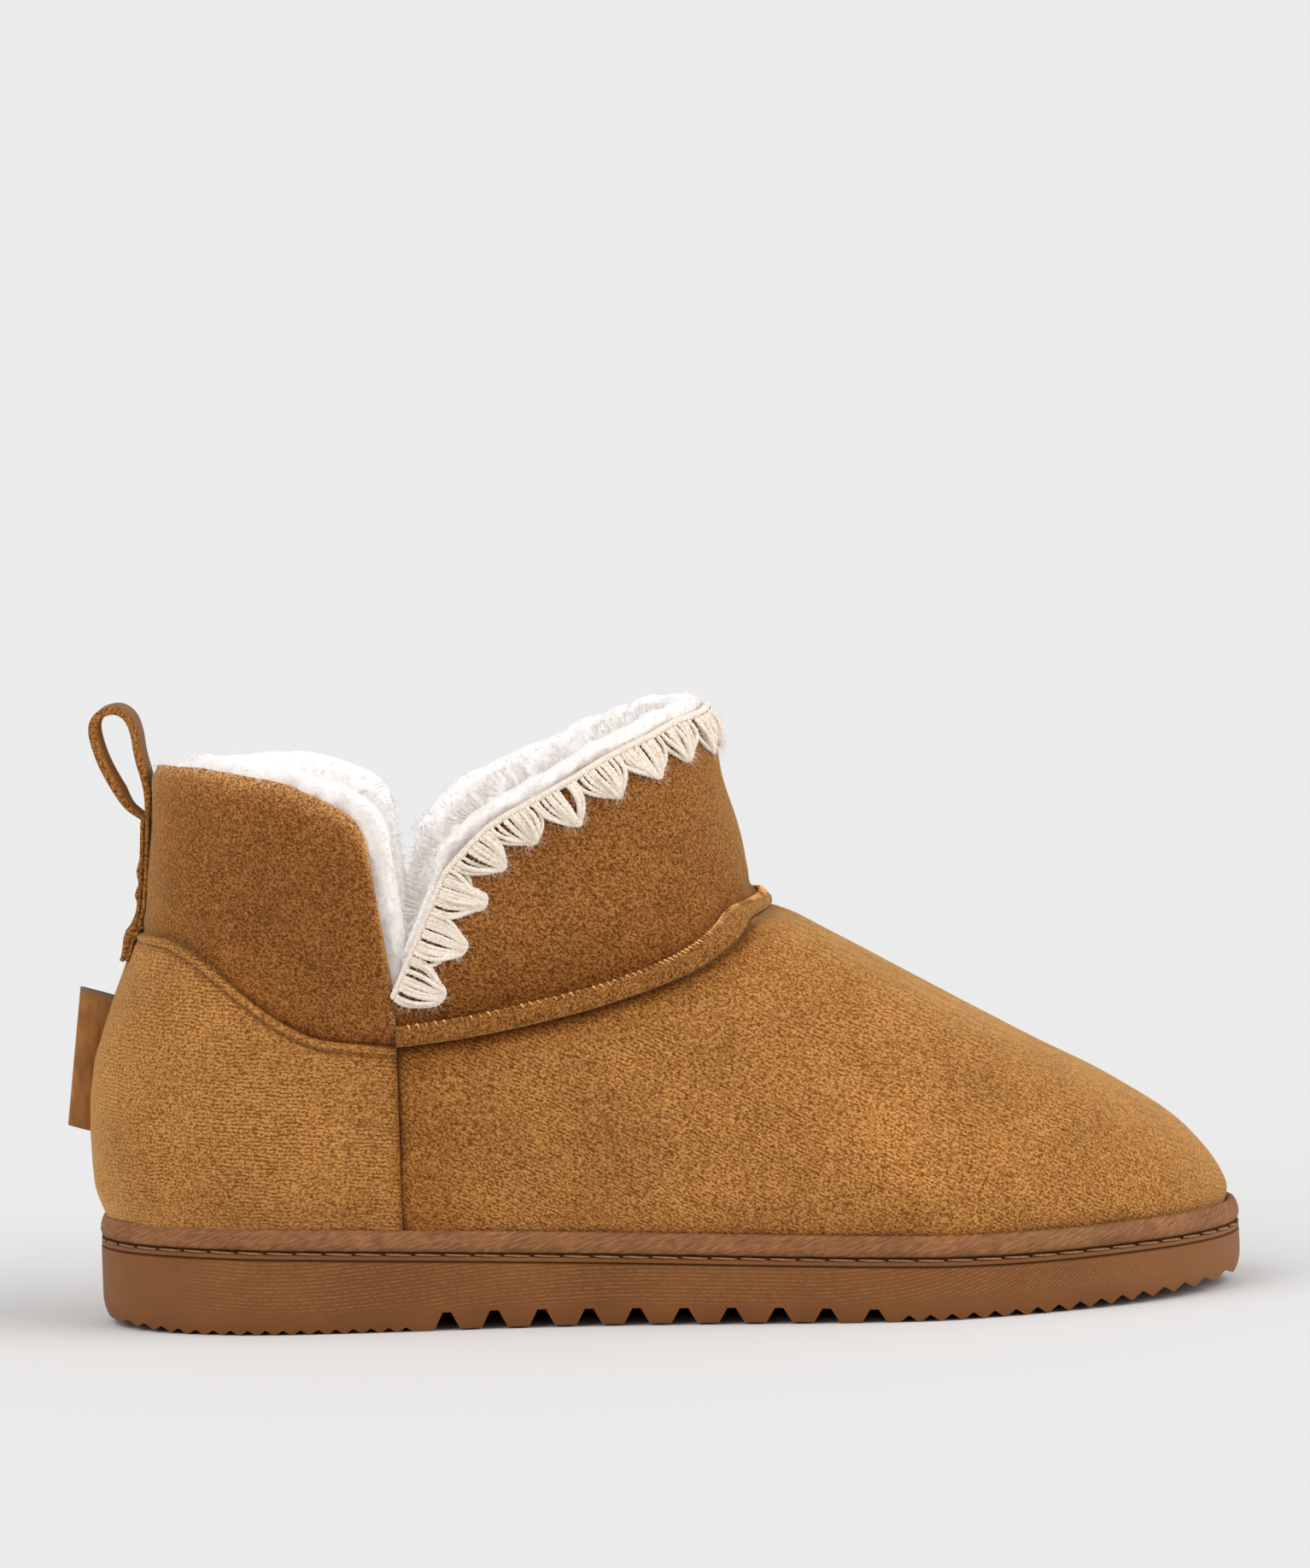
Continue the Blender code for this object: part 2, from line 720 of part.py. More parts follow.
def make_upper(collection):
    """Hollow shell of vamp, counter and shaft, with the counter as a step in its wall."""
    step_up = COUNTER_STEP_RISE
    rear = [lambda share: foot_height(rear_angle, share), counter_height,
            lambda share: counter_height(share) + step_up,
            lambda share: counter_height(share) + NOTCH_HEIGHT - SIDE_SEAM_HEIGHT,
            back_collar_height]
    front = [lambda share: foot_height(front_angle, share), vamp_height,
             lambda share: vamp_height(share) + step_up,
             lambda share: vamp_height(share) + NOTCH_HEIGHT - SIDE_SEAM_HEIGHT,
             front_collar_height]

    def proud(patch, row):
        """The counter's step, which starts above the welt and ends at the counter's seam."""
        line, part = row
        if patch == "front" or row > (1, 0.0):
            return 0.0
        return COUNTER_STEP * min(1.0, max(0.0, line + part - 0.1) / 0.15)

    shell = Shell(rear, front, 3, (12, 1, 2, 5), 8, 17, proud)
    upper = add_piece("upper", shell.build(), collection, tidy=False)
    thicken(upper, UPPER_WALL, -1)
    return upper


def make_insole(collection):
    """Footbed inside the upper, with a rounded top edge."""
    rings = []
    inset = UPPER_WALL + CLEARANCE
    for share, extra in ((0.0, 0.0), (0.75, 0.0), (1.0, 0.0012)):
        ring = []
        for angle in round_angles(56):
            guess = (HEEL_SOLE_HEIGHT + FOREFOOT_SOLE_HEIGHT) / 2
            place = upper_point(angle, guess, -inset)
            height = sole_top(place.x) + CLEARANCE + share * INSOLE_THICKNESS
            foot = sole_top(place.x) + CLEARANCE
            line = upper_point(angle, foot, 0.0)
            inward = plan_normal(sole_line, angle)
            point = line - inward * (inset + UPPER_WALL / 4 + extra)
            point.z = height
            ring.append(point)
        rings.append(ring)
    return add_piece("insole", ladder_solid(rings), collection)


def roll_ring(side, share):
    """Section of the raised seam, round its middle on the upper."""
    ring = []
    for k in range(10):
        turn = 2 * math.pi * k / 10
        height = vamp_height(share) + ROLL_WIDTH / 2 * (1 + math.sin(turn))
        angle = wrap(side * front_angle(share, height))
        out = ROLL_CLEARANCE + ROLL_HEIGHT / 2 * (1 - math.cos(turn))
        ring.append(upper_point(angle, height, out))
    return ring


def make_ankle_roll(collection):
    """Rounded seam laid on the upper from one side seam over the instep to the other."""
    mesh = bmesh.new()
    stations = [(LATERAL, step / ROLL_STEPS) for step in range(ROLL_STEPS + 1)]
    stations += [(MEDIAL, step / ROLL_STEPS) for step in range(ROLL_STEPS - 1, -1, -1)]
    rings = [[mesh.verts.new(point) for point in roll_ring(*station)] for station in stations]
    for ring, following in zip(rings, rings[1:]):
        for k in range(len(ring)):
            j = (k + 1) % len(ring)
            mesh.faces.new((ring[k], ring[j], following[j], following[k]))
    mesh.faces.new(rings[0])
    mesh.faces.new(rings[-1])
    return add_piece("ankle_roll", mesh, collection)


def make_collar_fleece(collection):
    """Fleece that lines the shaft, stands above the collar and closes in on the notches."""
    gap_rate = REAR_NOTCH_LEAN / (REAR_NOTCH_TOP - NOTCH_HEIGHT)
    gap_rate += FRONT_NOTCH_LEAN / (FRONT_NOTCH_TOP - NOTCH_HEIGHT)
    fleece_notch = NOTCH_HEIGHT + 2 * FLEECE_SPREAD / gap_rate
    rear = [lambda share: counter_height(share) + FLEECE_DEPTH,
            lambda share: counter_height(share) + fleece_notch - SIDE_SEAM_HEIGHT,
            lambda share: back_collar_height(share) + FLEECE_RISE]
    front = [lambda share: vamp_height(share) + FLEECE_DEPTH,
             lambda share: vamp_height(share) + fleece_notch - SIDE_SEAM_HEIGHT,
             lambda share: front_collar_height(share) + FLEECE_RISE]
    inside = -(UPPER_WALL + FLEECE_CLEARANCE)
    shell = Shell(rear, front, 1, (2, 4), 8, 17, lambda patch, row: inside, FLEECE_SPREAD)
    fleece = add_piece("collar_fleece", shell.build(), collection, tidy=False)
    thicken(fleece, FLEECE_THICKNESS, -1)
    return fleece


def collar_edge():
    """Front collar edge from notch to notch as angles and heights, close together."""
    stations = []
    for step in range(61):
        height = NOTCH_HEIGHT + (FRONT_NOTCH_TOP - NOTCH_HEIGHT) * step / 60
        stations.append((front_angle(0.0, height), height))
    for step in range(1, 121):
        height = front_collar_height(step / 120)
        stations.append((front_angle(step / 120, height), height))
    outer = [(-angle, height) for angle, height in stations]
    return outer + stations[-2::-1]


def walk(angle, height, direction, distance):
    """Angle and height reached by going a distance over the upper from a place on it."""
    steps = 4
    for _ in range(steps):
        here = bare_point(wrap(angle), height)
        turn, lift = 0.005, 0.0005
        around = (bare_point(wrap(angle + turn), height) - here) / turn
        upward = (bare_point(wrap(angle), height + lift) - here) / lift
        basis = np.array([around, upward]).T
        moves = np.linalg.lstsq(basis, np.array(direction * (distance / steps)), rcond=None)[0]
        angle += float(moves[0])
        height += float(moves[1])
    return wrap(angle), height


def make_crochet_edging(collection):
    """Scalloped band of yarn fans along the front collar, laid on the outside of the upper."""
    stations = collar_edge()
    points = [bare_point(wrap(angle), height) for angle, height in stations]
    lengths = [0.0]
    for first, second in zip(points, points[1:]):
        lengths.append(lengths[-1] + (second - first).length)
    fan_columns = 4
    columns = FAN_COUNT * fan_columns
    mesh = bmesh.new()
    rows = []
    for column in range(columns + 1):
        reach = lengths[-1] * (0.5 + column) / (columns + 1)
        i = max(k for k in range(len(lengths) - 1) if lengths[k] <= reach)
        part = (reach - lengths[i]) / (lengths[i + 1] - lengths[i])
        turns = [stations[i][0], stations[i + 1][0]]
        angle = turns[0] + wrap(turns[1] - turns[0]) * part
        height = stations[i][1] + (stations[i + 1][1] - stations[i][1]) * part
        along = (points[min(i + 2, len(points) - 1)] - points[max(i - 1, 0)]).normalized()
        down = along.cross(upper_normal(wrap(angle), height)).normalized()
        swell = math.sin(math.pi * column / fan_columns) ** 2
        depth = FAN_VALLEY + (FAN_LENGTH - FAN_VALLEY) * swell
        row = []
        for share in (0.0, 0.5, 1.0):
            place = walk(angle, height, down, share * depth)
            row.append(mesh.verts.new(upper_point(*place, CLEARANCE)))
        rows.append(row)
    for row, following in zip(rows, rows[1:]):
        for k in range(2):
            mesh.faces.new((row[k], row[k + 1], following[k + 1], following[k]))
    edging = add_piece("crochet_edging", mesh, collection, tidy=False)
    thicken(edging, YARN_THICKNESS, 1)
    return edging


def back_x(height):
    """Back seam of the upper, with the counter's step."""
    proud = COUNTER_STEP if height <= COUNTER_BACK_HEIGHT else 0.0
    return bare_point(0.0, height).x - proud


def strip_of(name, path, width, thickness, collection):
    """Ribbon across Y along a path of X and Z points."""
    mesh = bmesh.new()
    edges = []
    for x, z in path:
        edges.append([mesh.verts.new((x, side * width / 2, z)) for side in (LATERAL, MEDIAL)])
    for low, high in zip(edges, edges[1:]):
        mesh.faces.new((low[0], low[1], high[1], high[0]))
    strip = add_piece(name, mesh, collection, tidy=False)
    thicken(strip, thickness, 0)
    return strip


def rounded_path(points, pieces):
    """Smooth curve through points."""
    path = []
    ends = [points[0]] + points + [points[-1]]
    for a, b, c, d in zip(ends, ends[1:], ends[2:], ends[3:]):
        for step in range(pieces):
            t = step / pieces
            path.append(tuple(0.5 * (2 * q + (r - p) * t + (2 * p - 5 * q + 4 * r - s) * t * t
                                     + (3 * q - p - 3 * r + s) * t**3)
                              for p, q, r, s in zip(a, b, c, d)))
    return path + [points[-1]]


def make_pull_loop(collection):
    """Doubled strip sewn down the back seam, its upper end left open as a loop."""
    inner_gap = CLEARANCE + STRIP_THICKNESS / 2
    outer_gap = inner_gap + STRIP_THICKNESS + CLEARANCE
    heights = [TAIL_END_HEIGHT + (LOOP_JOIN_HEIGHT - TAIL_END_HEIGHT) * i / 6 for i in range(7)]
    outer = [(back_x(height) - outer_gap, height) for height in heights]
    panel = back_x(LOOP_JOIN_HEIGHT)
    loop = [(panel - back * LOOP_REACH, LOOP_JOIN_HEIGHT + up * LOOP_RISE)
            for back, up in LOOP_PATH]
    rise = (BACK_COLLAR_HEIGHT - LOOP_JOIN_HEIGHT) / 2
    leg = [(back_x(height) - inner_gap, height)
           for height in (LOOP_JOIN_HEIGHT + rise, LOOP_JOIN_HEIGHT)]
    inner = [(back_x(height) - inner_gap, height) for height in heights[-2::-1]]
    path = rounded_path(outer + loop + leg + inner, 2)
    return strip_of("pull_loop", path, STRIP_WIDTH, STRIP_THICKNESS, collection)


def make_heel_tag(collection):
    """Ribbon folded at its rear edge, both ends held in the back seam."""
    mesh = bmesh.new()
    rows = []
    for step in range(7):
        share = step / 6
        height = TAG_BOTTOM + share * TAG_HEIGHT
        front = back_x(height) - CLEARANCE - TAG_THICKNESS
        foot = back_x(TAG_BOTTOM) - TAG_REACH_BOTTOM
        head = back_x(TAG_BOTTOM + TAG_HEIGHT) - TAG_REACH_TOP
        rear = foot + (head - foot) * share
        half = (TAG_WIDTH - TAG_THICKNESS) / 2
        bend = rear + half
        section = [(front, -half), (bend, -half), (rear + half * 0.3, -half * 0.7), (rear, 0.0),
                   (rear + half * 0.3, half * 0.7), (bend, half), (front, half)]
        rows.append([mesh.verts.new((x, y, height)) for x, y in section])
    for row, following in zip(rows, rows[1:]):
        for k in range(len(row) - 1):
            mesh.faces.new((row[k], row[k + 1], following[k + 1], following[k]))
    tag = add_piece("heel_tag", mesh, collection, tidy=False)
    thicken(tag, TAG_THICKNESS, 0)
    return tag


def settle(pieces):
    """Move the shoe so that the origin is on the floor under the middle of its box."""
    bpy.context.view_layer.update()
    graph = bpy.context.evaluated_depsgraph_get()
    corners = []
    for piece in pieces:
        shown = piece.evaluated_get(graph)
        mesh = shown.to_mesh()
        corners += [vertex.co.copy() for vertex in mesh.vertices]
        shown.to_mesh_clear()
    low = [min(corner[axis] for corner in corners) for axis in range(3)]
    high = [max(corner[axis] for corner in corners) for axis in range(3)]
    shift = Vector((-(low[0] + high[0]) / 2, -(low[1] + high[1]) / 2, -low[2]))
    for item in bpy.data.objects:
        item.location = shift


def main():
    for item in list(bpy.data.objects):
        bpy.data.objects.remove(item)
    shoe = parts_collection("bootie_slipper")
    cutters = parts_collection("cutters", hidden=True)
    pieces = [
        make_outsole(shoe, cutters),
        make_welt(shoe),
        make_upper(shoe),
        make_insole(shoe),
        make_ankle_roll(shoe),
        make_collar_fleece(shoe),
        make_crochet_edging(shoe),
        make_pull_loop(shoe),
        make_heel_tag(shoe),
    ]
    settle(pieces)


main()
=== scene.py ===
import math

import bpy
import numpy as np
from mathutils import Matrix, Vector


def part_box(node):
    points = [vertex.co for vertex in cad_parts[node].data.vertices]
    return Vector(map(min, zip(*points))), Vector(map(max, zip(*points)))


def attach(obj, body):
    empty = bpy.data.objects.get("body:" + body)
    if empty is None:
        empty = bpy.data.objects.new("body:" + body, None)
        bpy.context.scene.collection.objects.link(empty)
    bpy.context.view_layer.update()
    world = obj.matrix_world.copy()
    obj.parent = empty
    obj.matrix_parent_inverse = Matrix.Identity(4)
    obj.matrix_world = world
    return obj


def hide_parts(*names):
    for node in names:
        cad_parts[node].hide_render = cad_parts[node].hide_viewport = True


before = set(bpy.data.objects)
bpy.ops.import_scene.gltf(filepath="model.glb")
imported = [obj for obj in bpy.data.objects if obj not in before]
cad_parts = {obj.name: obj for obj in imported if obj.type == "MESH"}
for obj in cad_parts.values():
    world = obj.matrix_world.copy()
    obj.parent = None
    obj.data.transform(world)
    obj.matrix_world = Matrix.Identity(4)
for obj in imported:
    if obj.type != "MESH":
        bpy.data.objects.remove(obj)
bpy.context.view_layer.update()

# Outsole: one moulded unit of foamed rubber that the whole shoe is cemented and stitched to.
# Fine woven-looking lines cover its side wall, and lugs and saw teeth are moulded across its
# edges. The foot's outline and profile are set here, and the upper is drawn on them.
SOLE_LENGTH = 0.2675
BALL_WIDTH = 0.0975
WAIST_WIDTH = 0.0690
HEEL_WIDTH = 0.0700
TOE_SWING = 0.0090
HEEL_SOLE_HEIGHT = 0.0205
FOREFOOT_SOLE_HEIGHT = 0.0147
TOE_SPRING = 0.0028
HEEL_SPRING = 0.0020
ARCH_LIFT = 0.0005
NOTCH_HEIGHT = 0.0770
HEEL_END = -SOLE_LENGTH / 2
OUTER_SIDE, INNER_SIDE = -1, 1

outsole_low, outsole_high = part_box("outsole")
loop_low, loop_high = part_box("pull_loop")
SHOE_PLACE = np.array([(outsole_low.x + outsole_high.x) / 2, (loop_low.y + loop_high.y) / 2, 0.0])

# Angles from the back at which a section's three half widths are given, and the angle over which
# its widening dies away past the ball
HEEL_ANGLE, WAIST_ANGLE, BALL_ANGLE = np.radians((45.0, 80.0, 112.0))
BALL_ROUNDING = 0.07
ANGLE_STEP = 0.01

# share of the sole's length from the heel, swing towards the inner side
MIDDLE_LINE = ((0.00, 0.00), (0.14, 0.00), (0.40, -0.30), (0.72, 0.06), (0.90, 0.55), (1.00, 1.00))

# share of the sole's length, rise from the forefoot's height to the heel's
SOLE_TOP_LINE = ((0.00, 1.00), (0.08, 0.95), (0.18, 0.83), (0.28, 0.66), (0.44, 0.38),
                 (0.69, 0.06), (0.82, -0.08), (0.92, -0.03), (1.00, 0.00))

# share of the sole's length, shares of heel spring, arch lift and toe spring
SOLE_BOTTOM_LINE = ((0.00, 1.00, 0.00, 0.00), (0.04, 0.40, 0.00, 0.00), (0.09, 0.00, 0.00, 0.00),
                    (0.26, 0.00, 0.00, 0.00), (0.34, 0.00, 1.00, 0.00), (0.60, 0.00, 1.00, 0.00),
                    (0.68, 0.00, 0.00, 0.00), (0.80, 0.00, 0.00, 0.00), (0.87, 0.00, 0.00, 0.24),
                    (0.94, 0.00, 0.00, 0.66), (1.00, 0.00, 0.00, 1.00))


def cubic(t, width, start, start_slope, end, end_slope):
    """Cubic over a width from one value and slope to another. t runs from 0 to 1."""
    return ((2 * t**3 - 3 * t**2 + 1) * start + (t**3 - 2 * t**2 + t) * width * start_slope
            + (3 * t**2 - 2 * t**3) * end + (t**3 - t**2) * width * end_slope)


def curve_through(places, values, share):
    """Smooth curve through values at places, which never overshoots them."""
    share = np.clip(share, places[0], places[-1])
    slopes = np.diff(values) / np.diff(places)
    tangents = np.concatenate([slopes[:1], np.zeros(len(places) - 2), slopes[-1:]])
    product = slopes[:-1] * slopes[1:]
    steady = product > 0
    tangents[1:-1][steady] = 2 * product[steady] / (slopes[:-1] + slopes[1:])[steady]
    i = np.clip(np.searchsorted(places, share, side="right") - 1, 0, len(places) - 2)
    width = places[i + 1] - places[i]
    t = (share - places[i]) / width
    return cubic(t, width, values[i], tangents[i], values[i + 1], tangents[i + 1])


def line_value(table, share, column=1):
    """Value of a table's column at a share."""
    rows = np.array(table, float)
    return curve_through(rows[:, 0], rows[:, column], share)


def wrap(angle):
    """Angle brought between -pi and pi. 0 is the back of the shoe, pi its toe."""
    return (angle + math.pi) % (2 * math.pi) - math.pi


def along_share(turn, blunt):
    """Share of a section's length at an angle from the back."""
    return (1 - np.cos(turn) * (1 + blunt * np.sin(turn) ** 2)) / 2


def half_width(turn, heel, waist, ball):
    """Half width of a section at an angle, through its half widths at heel, waist and ball."""
    low, middle, high = HEEL_ANGLE, WAIST_ANGLE, BALL_ANGLE
    first, second, third = heel / np.sin(low), waist / np.sin(middle), ball / np.sin(high)
    rise, later = (second - first) / (middle - low), (third - second) / (high - middle)
    steady = rise * later > 0
    bend = np.where(steady, 2 * rise * later / np.where(steady, rise + later, 1.0), 0.0)

    to_waist = np.clip((turn - low) / (middle - low), 0.0, 1.0)
    to_ball = np.clip((turn - middle) / (high - middle), 0.0, 1.0)
    # Past the ball the widening dies away, so the outline has no corner there
    past = np.maximum(turn - high, 0.0)
    fullness = np.where(turn < middle, cubic(to_waist, middle - low, first, 0.0, second, bend),
                        cubic(to_ball, high - middle, second, bend, third, later)
                        + later * past * np.exp(-past / BALL_ROUNDING))
    return np.sin(turn) * fullness


def outline_point(section, angle, height):
    """Point of a level section of the foot. A negative angle is on the outer side."""
    back, front, heel, waist, ball, blunt = section
    turn = np.abs(angle)
    x = back + (front - back) * along_share(turn, blunt)
    fade = np.clip((NOTCH_HEIGHT - height) / (NOTCH_HEIGHT / 2), 0.0, 1.0)
    y = fade * TOE_SWING * line_value(MIDDLE_LINE, (x - HEEL_END) / SOLE_LENGTH)
    y = y + np.sign(angle) * half_width(turn, heel, waist, ball)
    return np.stack([x, y, height + 0 * x], axis=-1)


def unit(vectors):
    """Directions of length 1."""
    return vectors / np.maximum(np.linalg.norm(vectors, axis=-1, keepdims=True), 1e-12)


def plan_normal(section, angle, height):
    """Outward level normal of a section."""
    along = outline_point(section, wrap(angle + ANGLE_STEP), height)
    along = along - outline_point(section, wrap(angle - ANGLE_STEP), height)
    return unit(np.stack([-along[..., 1], along[..., 0], 0 * along[..., 0]], axis=-1))


SOLE_HEEL_SHARE, SOLE_BLUNTNESS = 0.93, 0.20
SOLE_SECTION = (HEEL_END, -HEEL_END, SOLE_HEEL_SHARE * HEEL_WIDTH / 2, WAIST_WIDTH / 2,
                BALL_WIDTH / 2, SOLE_BLUNTNESS)


def sole_edge(angle, inset):
    """Point in plan inside the sole's edge."""
    level = 0 * angle
    edge = outline_point(SOLE_SECTION, angle, level)
    return edge - plan_normal(SOLE_SECTION, angle, level) * np.asarray(inset)[..., None]


def sole_top(x):
    """Height of the sole's top edge at a place along the foot."""
    rise = line_value(SOLE_TOP_LINE, (x - HEEL_END) / SOLE_LENGTH)
    return FOREFOOT_SOLE_HEIGHT + rise * (HEEL_SOLE_HEIGHT - FOREFOOT_SOLE_HEIGHT)


def sole_bottom(x):
    """Height of the tread over the floor at a place along the foot."""
    share = (x - HEEL_END) / SOLE_LENGTH
    heel, arch, toe = (line_value(SOLE_BOTTOM_LINE, share, column) for column in (1, 2, 3))
    return heel * HEEL_SPRING + arch * ARCH_LIFT + toe * TOE_SPRING


def mesh_of(name, points, faces, **marks):
    """Mesh of points in the shoe's own frame. A mark is a value or vector at each point."""
    mesh = bpy.data.meshes.new(name)
    points = np.asarray(points, float).reshape(-1, 3) + SHOE_PLACE
    faces = np.asarray(faces, int)
    mesh.vertices.add(len(points))
    mesh.vertices.foreach_set("co", points.ravel())
    mesh.loops.add(faces.size)
    mesh.loops.foreach_set("vertex_index", faces.ravel())
    mesh.polygons.add(len(faces))
    mesh.polygons.foreach_set("loop_start", np.arange(0, faces.size, faces.shape[1]))
    mesh.update(calc_edges=True)
    mesh.shade_smooth()
    for mark, values in marks.items():
        values = np.asarray(values, float).reshape(len(points), -1)
        kind, field = ("FLOAT", "value") if values.shape[1] == 1 else ("FLOAT_VECTOR", "vector")
        mesh.attributes.new(mark, kind, "POINT").data.foreach_set(field, values.ravel())
    return mesh


def grid_faces(rows, columns, ring=False):
    """Faces over rows of points that go round the shoe by the inner side, facing outwards."""
    index = np.arange(rows * columns).reshape(rows, columns)
    left, right = (index, np.roll(index, -1, axis=1)) if ring else (index[:, :-1], index[:, 1:])
    return np.stack([left[:-1], left[1:], right[1:], right[:-1]], axis=-1).reshape(-1, 4)


def add_piece(name, mesh, material, slot, *nodes):
    """Piece that rides on the shoe and stands for the named CAD nodes."""
    piece = bpy.data.objects.new(name, mesh)
    bpy.context.scene.collection.objects.link(piece)
    mesh.materials.append(material)
    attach(piece, "root")
    if nodes:
        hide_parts(*nodes)
    return piece


def new_finish(name, roughness, sheen=0.0, sheen_roughness=0.5, sheen_tint=(1.0, 1.0, 1.0),
               specular=0.5):
    """Material and its node tree, with what is the same all over set on the shader itself."""
    material = bpy.data.materials.new(name)
    material.use_nodes = True
    shader = material.node_tree.nodes["Principled BSDF"]
    shader.inputs["Roughness"].default_value = roughness
    shader.inputs["Specular IOR Level"].default_value = specular
    shader.inputs["Sheen Weight"].default_value = sheen
    shader.inputs["Sheen Roughness"].default_value = sheen_roughness
    shader.inputs["Sheen Tint"].default_value = (*sheen_tint, 1.0)
    return material, material.node_tree, shader


def node(tree, kind, sockets, out=0, **settings):
    """Node whose sockets take a value or another node's output. Its output is given back."""
    made = tree.nodes.new("ShaderNode" + kind)
    for setting, value in settings.items():
        setattr(made, setting, value)
    for socket, value in sockets.items():
        if isinstance(value, bpy.types.NodeSocket):
            tree.links.new(value, made.inputs[socket])
        else:
            made.inputs[socket].default_value = value
    return made.outputs[out]


def maths(tree, operation, first, second=0.0, third=0.0):
    """Result of a Math node."""
    return node(tree, "Math", {0: first, 1: second, 2: third}, operation=operation)


def mark_of(tree, name):
    """Value of a mesh's mark at each point."""
    return node(tree, "Attribute", {}, out=2, attribute_name=name)


def ramp(tree, value, *stops):
    """Colours or shades at places along a value."""
    made = tree.nodes.new("ShaderNodeValToRGB")
    tree.links.new(value, made.inputs[0])
    band = made.color_ramp
    while len(band.elements) < len(stops):
        band.elements.new(0.5)
    for element, (place, colour) in zip(band.elements, stops):
        element.position = place
        element.color = (colour,) * 3 + (1.0,) if isinstance(colour, float) else (*colour, 1.0)
    return made.outputs[0]


def blend(tree, share, first, second, way="MIX"):
    """Mix of two colours by a share."""
    sockets = {0: share, 6: first, 7: second}
    for key in (6, 7):
        if isinstance(sockets[key], tuple):
            sockets[key] = (*sockets[key], 1.0)
    return node(tree, "Mix", sockets, out=2, data_type="RGBA", blend_type=way)


def raise_by(tree, height, distance, strength=1.0, under=None):
    """Bump of a height field whose full range is a distance in metres."""
    sockets = {"Height": height, "Distance": distance, "Strength": strength}
    if under is not None:
        sockets["Normal"] = under
    return node(tree, "Bump", sockets)


def own_place(tree):
    """Place on the shoe in metres."""
    return node(tree, "TexCoord", {}, out=3)


def speckle(tree, place, size, detail=2.0, roughness=0.5, distortion=0.0):
    """Noise whose grains are about a size in metres."""
    return node(tree, "TexNoise", {"Vector": place, "Scale": 1.0 / size, "Detail": detail,
                                   "Roughness": roughness, "Distortion": distortion})


LUG_COUNT = 10
LUG_PITCH = 0.01103
LUG_FIRST_FROM_HEEL = 0.0812
LUG_GAP_TOP, LUG_GAP_BOTTOM = 0.0020, 0.0060
LUG_DEPTH_BACK, LUG_DEPTH_FRONT = 0.0042, 0.0033
HEEL_TOOTH_PITCH, HEEL_TOOTH_DEPTH = 0.0041, 0.0011
FORE_TOOTH_PITCH, FORE_TOOTH_DEPTH = 0.0050, 0.0016
TOOTH_FLAT = 0.0005
TREAD_EDGE = 0.0004
CENTRE_BAND_WIDTH = 0.0300
FULL_TEETH_REACH = 0.0170
STITCH_GROOVE_HEIGHT, STITCH_GROOVE_DEPTH = 0.0013, 0.0016
SOLE_COLUMNS = 640

# inset, height, and whether the height is taken down from the sole's top
SOLE_SIDE = ((0.00200, 0.0000, False), (0.00120, 0.0000, False), (0.00075, 0.0009, False),
             (0.00035, 0.0021, False), (0.00010, 0.0034, False), (0.00000, 0.0048, False),
             (0.00000, 0.0068, True), (0.00000, 0.0050, True), (0.00002, 0.0034, True),
             (0.00006, 0.0023, True), (0.00055, 0.0020, True), (0.00010, 0.0017, True),
             (0.00020, 0.0009, True), (0.00085, 0.0006, True), (0.00200, 0.0000, True))


def tread_gaps():
    """Gaps cut across the tread: middle, width at the floor, width inside, depth."""
    gaps = []
    for i in range(LUG_COUNT):
        depth = LUG_DEPTH_BACK + (LUG_DEPTH_FRONT - LUG_DEPTH_BACK) * i / (LUG_COUNT - 1)
        middle = HEEL_END + LUG_FIRST_FROM_HEEL + i * LUG_PITCH
        gaps.append((middle, LUG_GAP_BOTTOM, LUG_GAP_TOP, depth))
    place = HEEL_END + LUG_FIRST_FROM_HEEL - LUG_PITCH / 2 - HEEL_TOOTH_PITCH
    while place > HEEL_END + HEEL_TOOTH_PITCH / 2:
        gaps.append((place, HEEL_TOOTH_PITCH - TOOTH_FLAT, 0.0, HEEL_TOOTH_DEPTH))
        place -= HEEL_TOOTH_PITCH
    place = HEEL_END + LUG_FIRST_FROM_HEEL + (LUG_COUNT - 0.5) * LUG_PITCH + FORE_TOOTH_PITCH / 2
    while place < -HEEL_END - FORE_TOOTH_PITCH / 4:
        gaps.append((place, FORE_TOOTH_PITCH - TOOTH_FLAT, 0.0, FORE_TOOTH_DEPTH))
        place += FORE_TOOTH_PITCH
    return gaps


def tread_prisms():
    """One mesh of prisms that cut the gaps across both edges of the tread."""
    points, faces = [], []
    for middle, wide, narrow, depth in tread_gaps():
        base = float(sole_bottom(np.array(middle)))
        top = [(middle + max(narrow, TREAD_EDGE) / 2, base + depth),
               (middle - max(narrow, TREAD_EDGE) / 2, base + depth)]
        outline = [(middle - wide / 2, -depth), (middle + wide / 2, -depth),
                   (middle + wide / 2, base), *top, (middle - wide / 2, base)]
        spans = [(side * CENTRE_BAND_WIDTH / 2, side * BALL_WIDTH) for side in (OUTER_SIDE, INNER_SIDE)]
        if -HEEL_END - abs(middle) < FULL_TEETH_REACH:
            spans = [(-BALL_WIDTH, BALL_WIDTH)]
        for span in spans:
            start, count = len(points), len(outline)
            side = INNER_SIDE if span[1] > 0 else OUTER_SIDE
            for y in span:
                points += [(x, y, z) for x, z in outline]
            for i in range(count):
                j = (i + 1) % count
                faces.append((start + i, start + j, start + count + j, start + count + i)[::-side])
            ends = [list(range(start, start + count))[::-1], list(range(start + count, len(points)))]
            for end in ends:
                faces += [(end[0], end[1], end[2], end[3])[::-side],
                          (end[0], end[3], end[4], end[5])[::-side]]
    return mesh_of("tread_prisms", points, faces)


